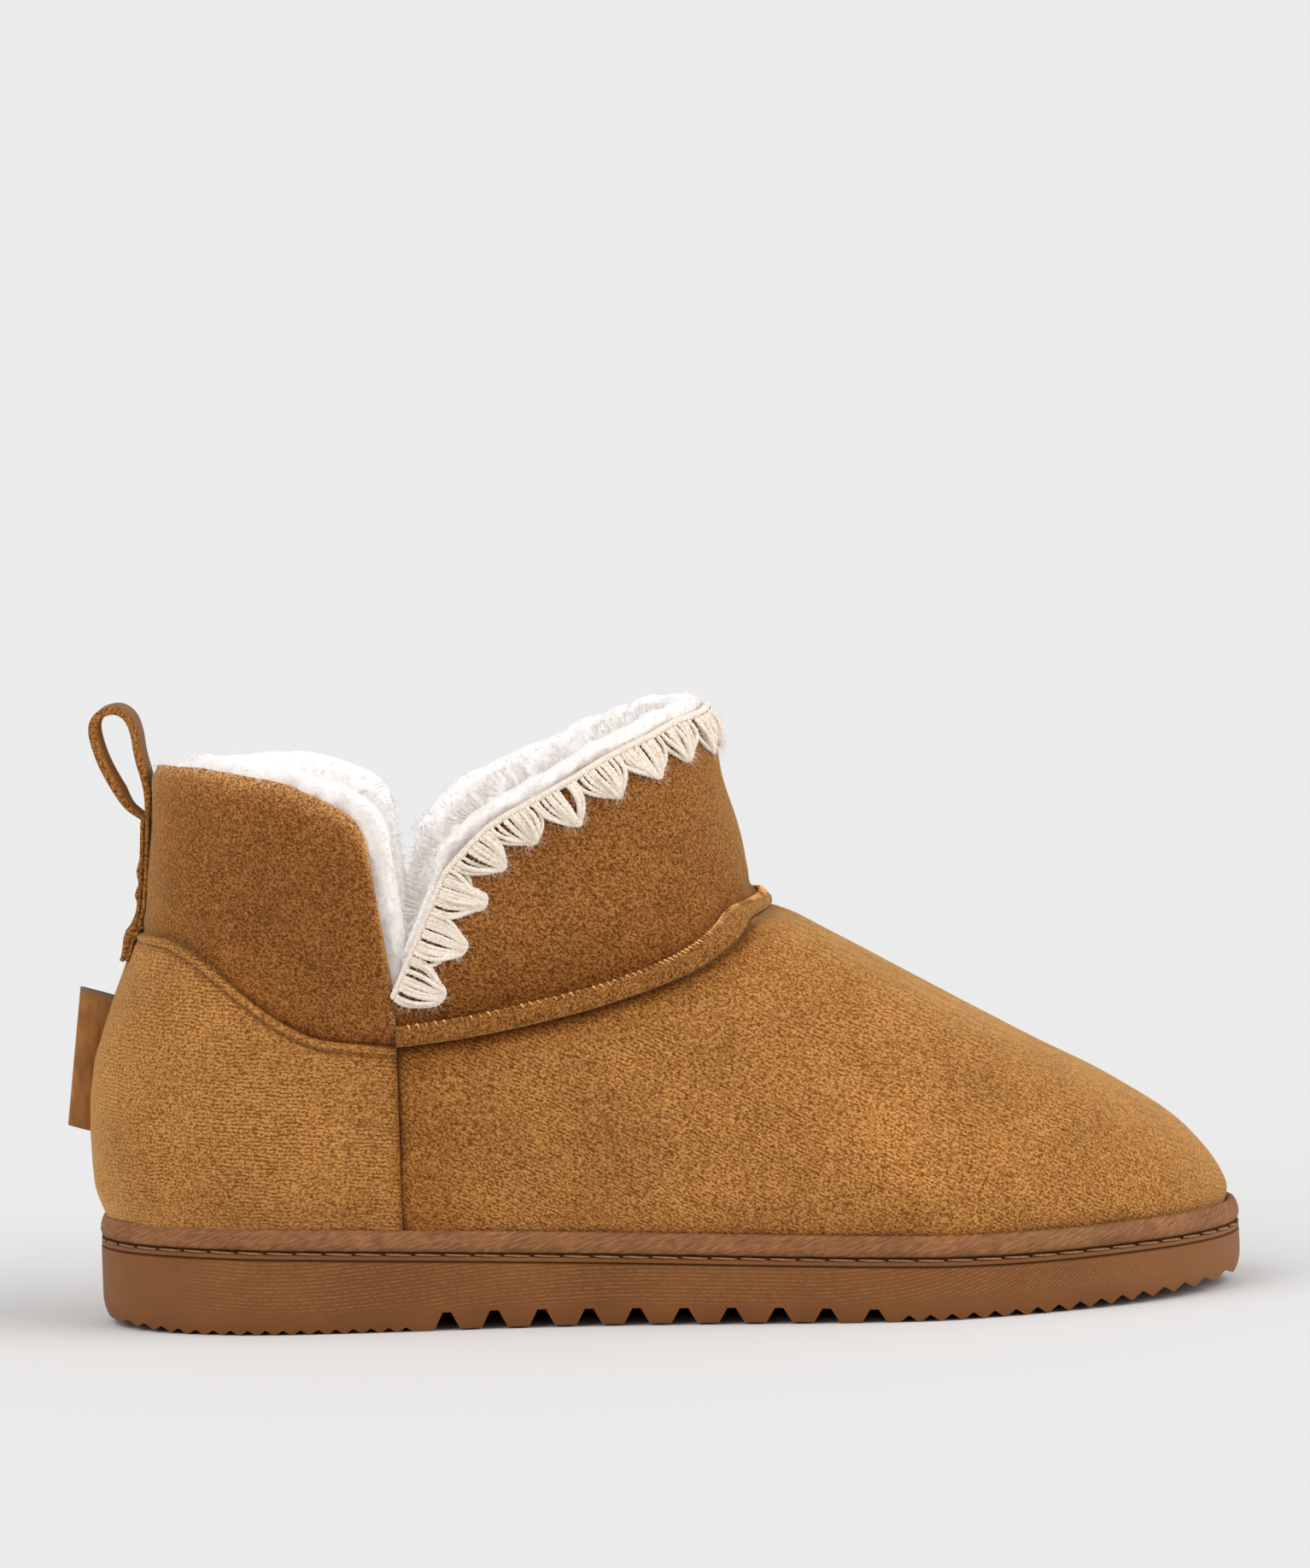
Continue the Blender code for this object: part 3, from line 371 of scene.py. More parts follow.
def body_of_rings(name, rings):
    """Closed mesh of rings, the lowest and the highest closed across the foot."""
    rows, columns = rings.shape[:2]
    faces = [grid_faces(rows, columns, ring=True)]
    half = columns // 2
    for start, step in ((0, -1), ((rows - 1) * columns, 1)):
        i = np.arange(1, half - 1)
        across = np.stack([start + i, start + i + 1, start + columns - i - 1, start + columns - i], -1)
        ends = np.array([[0, 1, columns - 1, columns - 1], [half - 1, half, half + 1, half + 1]])
        faces.append(across[:, ::-step])
        faces.append((start + ends)[:, ::-step])
    mesh = bpy.data.meshes.new(name)
    mesh.from_pydata((rings.reshape(-1, 3) + SHOE_PLACE).tolist(), [],
                     [tuple(dict.fromkeys(face)) for part in faces for face in part.tolist()])
    mesh.update()
    return mesh


round_angles = wrap(2 * np.pi * np.arange(SOLE_COLUMNS) / SOLE_COLUMNS)
sole_rings = []
for inset, height, from_top in SOLE_SIDE:
    ring = sole_edge(round_angles, np.full(SOLE_COLUMNS, inset))
    x = ring[:, 0]
    ring[:, 2] = sole_top(x) - height if from_top else sole_bottom(x) + height
    sole_rings.append(ring)
sole_mesh = body_of_rings("outsole_rubber", np.array(sole_rings))

rubber, tree, shader = new_finish("sole_rubber", 0.58, specular=0.20)
place = own_place(tree)
sole_x = node(tree, "SeparateXYZ", {0: place}, out=0)
sole_z = node(tree, "SeparateXYZ", {0: place}, out=2)
reach = maths(tree, "MULTIPLY_ADD", sole_x, 1 / SOLE_LENGTH, 0.5 - SHOE_PLACE[0] / SOLE_LENGTH)


def curve_along(table):
    """Smooth curve of a table's shares and values, read along the sole."""
    made = tree.nodes.new("ShaderNodeFloatCurve")
    curve = made.mapping.curves[0]
    while len(curve.points) < len(table):
        curve.points.new(0.5, 0.5)
    for point, (share, value) in zip(curve.points, table):
        point.location = (share, value)
        point.handle_type = "AUTO"
    made.mapping.update()
    tree.links.new(reach, made.inputs["Value"])
    return made.outputs[0]


# The moulded lines rise at the heel, run level in the waist and slant up towards the toe
LINE_RISE = ((0.0, 0.255), (0.05, 0.232), (0.10, 0.215), (0.16, 0.207), (0.25, 0.222), (0.36, 0.252),
             (0.46, 0.262), (0.56, 0.258), (0.65, 0.256), (0.735, 0.292), (0.84, 0.42), (0.915, 0.63),
             (0.96, 0.82), (1.0, 0.98))
slant = curve_along(LINE_RISE)
# A curve only holds 0 to 1, so the rise, which dips below 0, is kept shrunk and lifted
TOP_RISE_BASE = 0.5
top_rise = curve_along([(share, TOP_RISE_BASE * (1 + rise) / 2) for share, rise in SOLE_TOP_LINE])
top_height = maths(tree, "MULTIPLY_ADD", top_rise,
                   (HEEL_SOLE_HEIGHT - FOREFOOT_SOLE_HEIGHT) * 2 / TOP_RISE_BASE,
                   2 * FOREFOOT_SOLE_HEIGHT - HEEL_SOLE_HEIGHT)
under_top = maths(tree, "SUBTRACT", top_height, sole_z)
LINE_PITCH = 0.00094
LINE_RISE_SIZE = 0.100
LINE_DRIFT = 0.0006
drift = speckle(tree, place, 0.018, 1.0)
height_on_line = maths(tree, "SUBTRACT", sole_z, maths(tree, "MULTIPLY", slant, LINE_RISE_SIZE))
height_on_line = maths(tree, "ADD", height_on_line, maths(tree, "MULTIPLY", drift, LINE_DRIFT))
phase = maths(tree, "MULTIPLY", height_on_line, 2 * math.pi / LINE_PITCH)
lines = maths(tree, "MULTIPLY_ADD", maths(tree, "SINE", phase), 0.5, 0.5)
dash_place = node(tree, "Mapping", {"Vector": place, "Scale": (0.8, 0.8, 1.6)})
dashes = ramp(tree, speckle(tree, dash_place, 0.00090, 1.0), (0.42, 0.15), (0.60, 1.0))
threads = ramp(tree, lines, (0.45, 0.0), (0.90, 1.0))
# The lines stop at a smooth band above the tread and at the ends of the shoe
BAND_WANDER = 0.004
wander = maths(tree, "MULTIPLY", speckle(tree, place, 0.020, 1.0), BAND_WANDER)
band = ramp(tree, maths(tree, "MULTIPLY", maths(tree, "ADD", sole_z, wander), 50.0),
            (0.33, 0.0), (0.40, 1.0))
ends = ramp(tree, reach, (0.03, 0.0), (0.13, 1.0), (0.89, 1.0), (0.95, 0.0))
below_ledge = ramp(tree, maths(tree, "MULTIPLY", under_top, 100.0), (0.20, 0.0), (0.24, 1.0))
lined = maths(tree, "MULTIPLY", maths(tree, "MULTIPLY", band, below_ledge), ends)
strands = maths(tree, "MULTIPLY", maths(tree, "MULTIPLY", threads, dashes), lined)
tone = ramp(tree, speckle(tree, place, 0.022, 3.0), (0.30, (0.178, 0.065, 0.018)),
            (0.72, (0.228, 0.086, 0.024)))
pale_ends = ramp(tree, reach, (0.0, 1.0), (0.07, 0.15), (0.16, 0.0), (0.88, 0.0), (0.97, 1.0))
tone = blend(tree, maths(tree, "MULTIPLY", pale_ends, 0.40), tone, (0.290, 0.126, 0.048))
tone = blend(tree, maths(tree, "MULTIPLY", strands, 0.24), tone, (0.560, 0.270, 0.075))
# Painted shade: the valleys between the moulded lines are darkened
valley_shade = maths(tree, "MULTIPLY", maths(tree, "SUBTRACT", 1.0, lines), lined)
tone = blend(tree, maths(tree, "MULTIPLY", valley_shade, 0.15), tone, (0.120, 0.040, 0.011))
# Painted shadow: a dark line in the step under the ledge
ledge_shadow = ramp(tree, maths(tree, "MULTIPLY", under_top, 100.0), (0.160, 1.0), (0.18, 0.55),
                  (0.22, 0.55), (0.25, 1.0))
tone = blend(tree, 1.0, tone, ledge_shadow, "MULTIPLY")
tree.links.new(tone, shader.inputs["Base Color"])
relief = raise_by(tree, maths(tree, "MULTIPLY", lines, lined), 0.00009, 0.5)
relief = raise_by(tree, speckle(tree, place, 0.0009, 3.0), 0.00010, 0.25, relief)
tree.links.new(relief, shader.inputs["Normal"])

# The tread is cut into the finished wall
TREAD_CREASE = math.radians(32)
outsole = add_piece("outsole_rubber", sole_mesh, rubber, "sole_rubber", "outsole")
prisms = bpy.data.objects.new("tread_prisms", tread_prisms())
bpy.context.scene.collection.objects.link(prisms)
cut = outsole.modifiers.new("tread", "BOOLEAN")
cut.operation = "DIFFERENCE"
cut.solver = "EXACT"
cut.object = prisms
bpy.context.view_layer.update()
trimmed = bpy.data.meshes.new_from_object(outsole.evaluated_get(bpy.context.evaluated_depsgraph_get()))
outsole.modifiers.clear()
outsole.data = trimmed
bpy.data.objects.remove(prisms)
trimmed.shade_smooth()
trimmed.set_sharp_from_angle(angle=TREAD_CREASE)

# Upper: four panels of suede-look cloth backed with pile, sewn into one soft hollow shell over
# the foot. The seams pull the panels' edges in, and the cloth swells a little on both sides.
UPPER_WALL = 0.0025
INSTEP_HEIGHT = 0.0945
SIDE_SEAM_HEIGHT = 0.0670
SIDE_SEAM_FROM_HEEL = 0.0716
COUNTER_BACK_HEIGHT = 0.0923
COUNTER_STEP = 0.0006
REAR_NOTCH_TOP, REAR_NOTCH_LEAN = 0.1140, 0.0055
FRONT_NOTCH_TOP, FRONT_NOTCH_LEAN = 0.1070, 0.0137
BACK_COLLAR_HEIGHT = 0.1320
FRONT_COLLAR_HEIGHT = 0.1397
COLLAR_FROM_HEEL = 0.0807
COLLAR_LENGTH = 0.1306
COLLAR_WIDTH = 0.0770
WELT_HEIGHT = 0.0053
WELT_SETBACK = 0.0004
UPPER_TUCK = 0.0046
TUCK_RISE = 0.0080
TUCK_CURVE = 1.5
CLEARANCE = 0.0003
HEIGHT_STEP = 0.0004
SIDE_SEAM_X = HEEL_END + SIDE_SEAM_FROM_HEEL
COLLAR_X = HEEL_END + COLLAR_FROM_HEEL

# rise, back, front, half widths at heel, waist and ball, bluntness: as shares of the foot's sizes
FOOT_SECTIONS = (
    (0.170, 0.0004, 0.9980, 0.930, 0.985, 0.985, 0.20),
    (0.233, 0.0004, 0.9945, 0.935, 0.990, 0.985, 0.20),
    (0.286, 0.0000, 0.9835, 0.945, 1.000, 0.985, 0.20),
    (0.339, -0.0019, 0.9708, 0.955, 1.010, 0.975, 0.20),
    (0.402, -0.0034, 0.9507, 0.960, 1.030, 0.950, 0.20),
    (0.476, -0.0045, 0.9170, 0.955, 1.060, 0.905, 0.20),
    (0.550, -0.0037, 0.8763, 0.940, 1.085, 0.860, 0.20),
    (0.635, 0.0007, 0.8217, 0.915, 1.100, 0.815, 0.19),
    (0.720, 0.0082, 0.7694, 0.885, 1.110, 0.780, 0.18),
    (0.804, 0.0198, 0.7170, 0.845, 1.110, 0.750, 0.16),
    (0.889, 0.0329, 0.6647, 0.800, 1.105, 0.738, 0.13),
    (0.952, 0.0415, 0.6273, 0.775, 1.100, 0.733, 0.10),
    (1.000, 0.0464, 0.5963, 0.762, 1.099, 0.732, 0.08),
)
# rise, back and front as shares of the collar's sizes, and the widths that all of them share
SHAFT_SECTIONS = ((0.100, -1.0300, 1.1440), (0.300, -1.0170, 1.1160), (0.520, -1.0080, 1.0810),
                  (0.740, -1.0030, 1.0440), (1.100, -0.9950, 0.9850))
SHAFT_WIDTHS = (0.690, 0.985, 0.927)
SHAFT_BLUNTNESS = 0.08

# share of the way round, rise between the seam's or edge's two heights
COUNTER_LINE = ((0.00, 1.00), (0.16, 1.00), (0.34, 0.98), (0.46, 0.90), (0.59, 0.71), (0.70, 0.47),
                (0.79, 0.25), (0.87, 0.09), (1.00, 0.00))
VAMP_LINE = ((0.00, 0.00), (0.07, 0.06), (0.20, 0.23), (0.38, 0.51), (0.54, 0.75), (0.70, 0.92),
             (1.00, 1.00))
BACK_COLLAR_LINE = ((0.00, 0.93), (0.20, 0.99), (0.45, 1.00), (0.61, 0.93), (0.76, 0.83),
                    (0.85, 0.67), (0.94, 0.45), (0.98, 0.26), (1.00, 0.00))
FRONT_COLLAR_LINE = ((0.00, 0.00), (0.045, 0.165), (0.095, 0.315), (0.18, 0.46), (0.28, 0.605),
                     (0.39, 0.75), (0.53, 0.865), (0.67, 0.95), (1.00, 1.00))

section_rows = []
for rise, back, front, heel, waist, ball, blunt in FOOT_SECTIONS:
    section_rows.append((rise * INSTEP_HEIGHT, HEEL_END + back * SOLE_LENGTH,
                         HEEL_END + front * SOLE_LENGTH, heel * HEEL_WIDTH / 2,
                         waist * WAIST_WIDTH / 2, ball * BALL_WIDTH / 2, blunt))
for rise, back, front in SHAFT_SECTIONS:
    section_rows.append((INSTEP_HEIGHT + rise * (FRONT_COLLAR_HEIGHT - INSTEP_HEIGHT),
                         COLLAR_X + back * COLLAR_LENGTH / 2, COLLAR_X + front * COLLAR_LENGTH / 2,
                         *[share * COLLAR_WIDTH / 2 for share in SHAFT_WIDTHS], SHAFT_BLUNTNESS))


def section_at(height):
    """Back, front, three half widths and bluntness of the upper at a height."""
    return [line_value(section_rows, height, column) for column in range(1, 7)]


def bare_point(angle, height):
    """Outer face of the upper, its foot drawn in behind the welt."""
    section = section_at(height)
    point = outline_point(section, angle, height)
    low = sole_top(point[..., 0])
    share = np.clip((height - low) / (WELT_HEIGHT + TUCK_RISE), 0.0, 1.0)
    tuck = UPPER_TUCK * (1 - share) ** TUCK_CURVE
    return point - plan_normal(section, angle, height) * tuck[..., None]


def upper_normal(angle, height):
    """Direction out from the outer face of the upper."""
    around = bare_point(wrap(angle + ANGLE_STEP), height) - bare_point(wrap(angle - ANGLE_STEP), height)
    upward = bare_point(angle, height + HEIGHT_STEP) - bare_point(angle, height - HEIGHT_STEP)
    return unit(np.cross(upward, around))


def upper_point(angle, height, out=0.0):
    """Point at a distance out from the outer face of the upper."""
    angle, height = np.broadcast_arrays(np.asarray(angle, float), np.asarray(height, float))
    distance = np.broadcast_to(np.asarray(out, float), angle.shape)
    return bare_point(angle, height) + upper_normal(angle, height) * distance[..., None]


HALVINGS = 34


def angle_at(x, height):
    """Angle from the back at which the upper reaches a place along the foot."""
    section = section_at(height)
    share = np.clip((x - section[0]) / (section[1] - section[0]), 0.0, 1.0)
    low, high = 0 * share, 0 * share + np.pi
    for _ in range(HALVINGS):
        middle = (low + high) / 2
        short = along_share(middle, section[5]) < share
        low, high = np.where(short, middle, low), np.where(short, high, middle)
    return (low + high) / 2


def notch_edges(height, spread=0.0):
    """Places along the foot of the notch's two edges, brought together by a spread."""
    rear_share = np.clip((height - NOTCH_HEIGHT) / (REAR_NOTCH_TOP - NOTCH_HEIGHT), 0.0, 1.0)
    front_share = np.clip((height - NOTCH_HEIGHT) / (FRONT_NOTCH_TOP - NOTCH_HEIGHT), 0.0, 1.0)
    rear = SIDE_SEAM_X - REAR_NOTCH_LEAN * rear_share + spread
    front = SIDE_SEAM_X + FRONT_NOTCH_LEAN * front_share - spread
    middle = (rear + front) / 2
    return np.minimum(rear, middle), np.maximum(front, middle)


def rear_angle(share, height, spread=0.0):
    """Angle at a share of the way from the back seam to the notch."""
    return share * angle_at(notch_edges(height, spread)[0], height)


def front_angle(share, height, spread=0.0):
    """Angle at a share of the way from the notch to the middle of the toe."""
    start = angle_at(notch_edges(height, spread)[1], height)
    return start + share * (np.pi - start)


def counter_height(share):
    """Height of the counter's top edge."""
    rise = line_value(COUNTER_LINE, share)
    return SIDE_SEAM_HEIGHT + rise * (COUNTER_BACK_HEIGHT - SIDE_SEAM_HEIGHT)


def vamp_height(share):
    """Height of the seam between vamp and shaft."""
    return SIDE_SEAM_HEIGHT + line_value(VAMP_LINE, share) * (INSTEP_HEIGHT - SIDE_SEAM_HEIGHT)


def back_collar_height(share):
    """Height of the collar's edge from the back seam to the notch."""
    rise = line_value(BACK_COLLAR_LINE, share)
    return REAR_NOTCH_TOP + rise * (BACK_COLLAR_HEIGHT - REAR_NOTCH_TOP)


def front_collar_height(share):
    """Height of the collar's edge from the notch to the front."""
    rise = line_value(FRONT_COLLAR_LINE, share)
    return FRONT_NOTCH_TOP + rise * (FRONT_COLLAR_HEIGHT - FRONT_NOTCH_TOP)


def foot_height(place_at):
    """Function of the share that gives the height at which the upper stands on the sole."""
    def height(share):
        guess = 0 * share + (HEEL_SOLE_HEIGHT + FOREFOOT_SOLE_HEIGHT) / 2
        return sole_top(bare_point(place_at(share, guess), guess)[..., 0]) + CLEARANCE
    return height


def lay_out(patch, low, high, columns, rows, spread=0.0, sag=0.0):
    """Angles and heights of a panel that goes round from the outer side to the inner one. Its top
    edge can sag on the inner side, away from the back and the notch."""
    along = np.linspace(-1.0, 1.0, columns)
    share = np.abs(along) if patch == "rear" else 1 - np.abs(along)
    side = np.where(along < 0, OUTER_SIDE, INNER_SIDE)
    part = np.asarray(rows)[:, None]
    hang = np.clip(share / 0.14, 0.0, 1.0) * np.clip((0.95 - share) / 0.45, 0.0, 1.0)
    top = high(share) - sag * (along > 0) * hang * hang * (3 - 2 * hang)
    height = low(share)[None, :] * (1 - part) + top[None, :] * part
    place_at = rear_angle if patch == "rear" else front_angle
    angle = wrap(side * place_at(np.broadcast_to(share, height.shape), height, spread))
    if patch == "front":
        # Both sides meet at the toe, where the angle passes over pi
        angle = np.where((along > 0) & (np.abs(angle) > np.pi - 1e-9), np.pi, angle)
    return angle, height


def reach_along(points, axis):
    """Distance over the cloth along an axis, from its first point."""
    steps = np.linalg.norm(np.diff(points, axis=axis), axis=-1)
    start = np.zeros_like(np.take(steps, [0], axis=axis))
    return np.concatenate([start, np.cumsum(steps, axis=axis)], axis=axis)


# Seven waves added up seldom pass four times the height of one
WAVE_COUNT = 7
WAVE_LEVEL = 4.0


def waves(points, size, seed):
    """Soft uneven swell between -1 and 1 over a size in metres, the same on each run."""
    draw = np.random.default_rng(seed)
    total = 0.0
    for _ in range(WAVE_COUNT):
        way = unit(draw.normal(size=3)) * draw.uniform(0.6, 1.5)
        total = total + np.sin(points @ way * 2 * np.pi / size + draw.uniform(0, 2 * np.pi))
    return total / WAVE_LEVEL


def hump(distance, middle, width):
    """Soft rise to 1 at a middle."""
    return np.exp(-((distance - middle) / width) ** 2)


# Soft troughs and ridges: side, then x and z of both ends from the middle of the
# sole and the floor, width, and depth inwards, all in millimetres
CREASES = (
    (OUTER_SIDE, -42.0, 58.0, 30.0, 80.0, 9.0, 0.55),
    (OUTER_SIDE, -50.0, 26.0, -10.0, 36.0, 12.0, -0.45),
    (OUTER_SIDE, 20.0, 62.0, 62.0, 44.0, 13.0, 0.40),
    (OUTER_SIDE, 34.0, 40.0, 88.0, 30.0, 12.0, -0.35),
    (OUTER_SIDE, -122.0, 44.0, -92.0, 58.0, 10.0, 0.45),
    (OUTER_SIDE, -128.0, 30.0, -80.0, 34.0, 9.0, -0.35),
    (OUTER_SIDE, -75.0, 36.0, -73.0, 62.0, 7.0, 0.50),
    (OUTER_SIDE, -104.0, 118.0, -84.0, 98.0, 9.0, 0.50),
    (OUTER_SIDE, -118.0, 106.0, -100.0, 92.0, 8.0, -0.40),
    (OUTER_SIDE, -30.0, 100.0, 8.0, 116.0, 11.0, 0.55),
    (OUTER_SIDE, -44.0, 84.0, -6.0, 90.0, 8.0, -0.45),
    (INNER_SIDE, -40.0, 60.0, 28.0, 78.0, 9.0, 0.60),
    (INNER_SIDE, -20.0, 34.0, 40.0, 30.0, 12.0, -0.45),
    (INNER_SIDE, 20.0, 60.0, 60.0, 42.0, 12.0, 0.45),
    (INNER_SIDE, -120.0, 46.0, -90.0, 56.0, 10.0, 0.45),
    (INNER_SIDE, -75.0, 34.0, -73.0, 60.0, 7.0, 0.50),
    (INNER_SIDE, -106.0, 116.0, -82.0, 100.0, 9.0, 0.50),
    (INNER_SIDE, -28.0, 98.0, 8.0, 114.0, 11.0, 0.55),
)
# The creases of one side fade out over this distance about the middle of the shoe
CREASE_FADE = 0.004


def crease_depth(points):
    """How far the creases draw the cloth in."""
    total = np.zeros(points.shape[:-1])
    for side, x0, z0, x1, z1, width, depth in CREASES:
        start, end = np.array([x0, z0]) / 1000, np.array([x1, z1]) / 1000
        run = end - start
        off = points[..., [0, 2]] - start
        along = off @ run / (run @ run)
        away = np.linalg.norm(off - np.clip(along, 0, 1)[..., None] * run, axis=-1)
        on_side = 1 / (1 + np.exp(-points[..., 1] * side / CREASE_FADE))
        total += depth / 1000 * np.exp(-(away / (width / 1000)) ** 2) * on_side
    return total


def thick_faces(rows, columns):
    """Faces of a sheet with an outer skin, an inner skin after it, and an edge that joins them."""
    total = rows * columns
    faces = grid_faces(rows, columns)
    rim = np.concatenate([np.arange(columns), np.arange(2 * columns - 1, total, columns),
                          np.arange(total - 2, total - columns - 1, -1),
                          np.arange(total - 2 * columns, 0, -columns)])
    after = np.roll(rim, -1)
    edge = np.stack([rim, after, after + total, rim + total], axis=-1)
    return np.concatenate([faces, faces[:, ::-1] + total, edge])


def both_skins(outer, inner):
    """Points or marks of a sheet's outer skin, then of its inner one."""
    return np.concatenate([outer.reshape(-1, *outer.shape[2:]), inner.reshape(-1, *inner.shape[2:])])


CLOTH_THICKNESS = 0.0011


def sew_panel(name, patch, low, high, columns, rows, crowd, relief, material, sag=0.0):
    """Panel of cloth with thickness. relief gives its swell from the distances to its edges, and
    crowd above 1 brings its rows closer together towards its top edge."""
    parts = 1 - (1 - np.linspace(0.0, 1.0, rows)) ** crowd
    angle, height = lay_out(patch, low, high, columns, parts, sag=sag)
    bare = bare_point(angle, height)
    across, up = reach_along(bare, 1), reach_along(bare, 0)
    to_top = up[-1:] - up
    to_seam = np.minimum(across, across[:, -1:] - across)
    out = relief(to_seam, up, to_top, bare) - crease_depth(bare)
    outer = upper_point(angle, height, out)
    inner = upper_point(angle, height, np.minimum(out, 0.0) - CLOTH_THICKNESS)
    mesh = mesh_of(name, both_skins(outer, inner), thick_faces(rows, columns),
                   top_gap=both_skins(to_top, to_top), foot_gap=both_skins(up, up),
                   side_gap=both_skins(to_seam, to_seam))
    add_piece(name, mesh, material, "suede", "upper")


# Painted edge shades die out over this distance, and the nap's knots are this big and this deep
SHADE_REACH = 0.025
NAP_KNOT = 0.00047
NAP_DEPTH = 0.00046


def slanted_place(tree, turn, stretch=1.0):
    """Place on the shoe in metres, drawn out along a slope that falls towards the toe."""
    return node(tree, "Mapping", {"Vector": own_place(tree), "Scale": (stretch, 1.0, 1.0),
                                  "Rotation": (0.0, math.radians(turn), 0.0)}, vector_type="TEXTURE")


def suede(name, dark, middle, light, turn, rows_pitch=0.0, rows_share=0.0,
          top_shade=((0.0, 1.0),), side_shade=((0.0, 1.0),), foot_shade=((0.0, 1.0),)):
    """Napped cloth: short fibres in small knots, with knit rows showing through if it has them.
    A shade is a row of distances from an edge in millimetres and how light the cloth is there: below 1 a
    painted shade, above 1 a painted highlight."""
    material, tree, shader = new_finish(name, 0.95, sheen=1.0, sheen_roughness=0.42,
                                        sheen_tint=(1.0, 0.62, 0.26), specular=0.0)
    place = own_place(tree)
    knots = speckle(tree, slanted_place(tree, turn, 1.55), NAP_KNOT, 1.5, 0.6, 0.35)
    fibres = speckle(tree, place, NAP_KNOT / 1.8, 1.0, 0.5)
    nap = maths(tree, "MULTIPLY_ADD", fibres, 0.30, maths(tree, "MULTIPLY", knots, 0.70))
    if rows_pitch:
        level = node(tree, "SeparateXYZ", {0: slanted_place(tree, turn)}, out=2)
        wander = maths(tree, "MULTIPLY", speckle(tree, place, 0.0040, 2.0), rows_pitch * 1.8)
        level = maths(tree, "ADD", level, wander)
        rows = maths(tree, "SINE", maths(tree, "MULTIPLY", level, 2 * math.pi / rows_pitch))
        fade = ramp(tree, speckle(tree, place, 0.020, 2.0), (0.36, 0.15), (0.60, 1.0))
        rows = maths(tree, "MULTIPLY", maths(tree, "MULTIPLY", rows, fade), rows_share)
        nap = maths(tree, "ADD", nap, rows)
    tone = ramp(tree, nap, (0.395, dark), (0.50, middle), (0.605, light))
    brushed = ramp(tree, speckle(tree, place, 0.018, 3.0, 0.55), (0.30, 0.88), (0.70, 1.11))
    tone = blend(tree, 1.0, tone, brushed, "MULTIPLY")
    patches = ramp(tree, speckle(tree, place, 0.060, 2.0, 0.5), (0.35, 0.93), (0.65, 1.06))
    tone = blend(tree, 1.0, tone, patches, "MULTIPLY")
    for mark, shades in (("top_gap", top_shade), ("side_gap", side_shade), ("foot_gap", foot_shade)):
        if len(shades) > 1:
            gap = maths(tree, "MULTIPLY", mark_of(tree, mark), 1 / SHADE_REACH)
            # Painted shade turns the cloth redder, and painted highlight turns it paler
            shade = ramp(tree, gap, *[(distance / (1000 * SHADE_REACH),
                                       (light_up, light_up ** 1.35, light_up ** 1.9))
                                      for distance, light_up in shades])
            tone = blend(tree, 1.0, tone, shade, "MULTIPLY")
    tree.links.new(tone, shader.inputs["Base Color"])
    tree.links.new(raise_by(tree, nap, NAP_DEPTH, 0.9), shader.inputs["Normal"])
    return material


# Vamp: the big front panel, cut from golden tan suede-look cloth. It runs from side seam to side
# seam over the toes, and painted shade darkens it under the roll, along the seams and above the welt.
def vamp_relief(to_seam, up, to_top, points):
    """Swell of the cloth, from how far a point is from the side seams, the foot and the top edge."""
    corner = np.exp(-up / 0.0040)
    drawn = -(0.0004 + 0.0010 * corner) * hump(to_seam, 0.0, 0.0014 + 0.0016 * corner)
    drawn = drawn + 0.0007 * hump(to_seam, 0.0050, 0.0040)
    under_roll = -0.0007 * hump(to_top, 0.0, 0.0022)
    return drawn + under_roll + 0.00032 * waves(points, 0.034, 3) + 0.00012 * waves(points, 0.011, 4)


# Painted shade: under the roll, along the side seams and above the welt
vamp_cloth = suede("vamp_suede", (0.165, 0.056, 0.013), (0.385, 0.160, 0.041),
                   (0.625, 0.295, 0.090), 28.0, 0.00088, 0.040,
                   top_shade=((0.0, 0.38), (1.4, 0.50), (3.6, 0.82), (9.0, 1.0)),
                   side_shade=((0.0, 0.50), (0.9, 0.64), (2.6, 0.78), (10.0, 0.84), (25.0, 1.0)),
                   foot_shade=((0.0, 0.62), (1.8, 0.82), (9.0, 1.0)))
sew_panel("vamp", "front", foot_height(front_angle), vamp_height, 311, 66, 1.0,
          vamp_relief, vamp_cloth)

# Counter: the heel panel, in the same tan cloth with its knit rows level. Its top edge is folded
# under and topstitched over the foot of the shaft, so it stands a little proud.
TOPSTITCH_DROP = 0.0024


def counter_relief(to_seam, up, to_top, points):
    """Swell of the counter, raised by its fold and drawn in by the topstitch."""
    folded = COUNTER_STEP * (1 - 1.3 * hump(to_top, 0.0, 0.0006))
    puckers = 0.75 + 0.25 * waves(points, 0.006, 17)
    stitched = -0.00045 * hump(to_top, TOPSTITCH_DROP, 0.00060) * puckers
    stitched = stitched + 0.00035 * hump(to_top, TOPSTITCH_DROP / 2, 0.0008)
    drawn = -0.0004 * hump(to_seam, 0.0, 0.0013) + 0.0006 * hump(to_seam, 0.0045, 0.0036)
    swell = 0.00030 * waves(points, 0.030, 5) + 0.00012 * waves(points, 0.010, 6)
    return folded + stitched + drawn + swell * np.clip(to_top / 0.004, 0.0, 1.0)


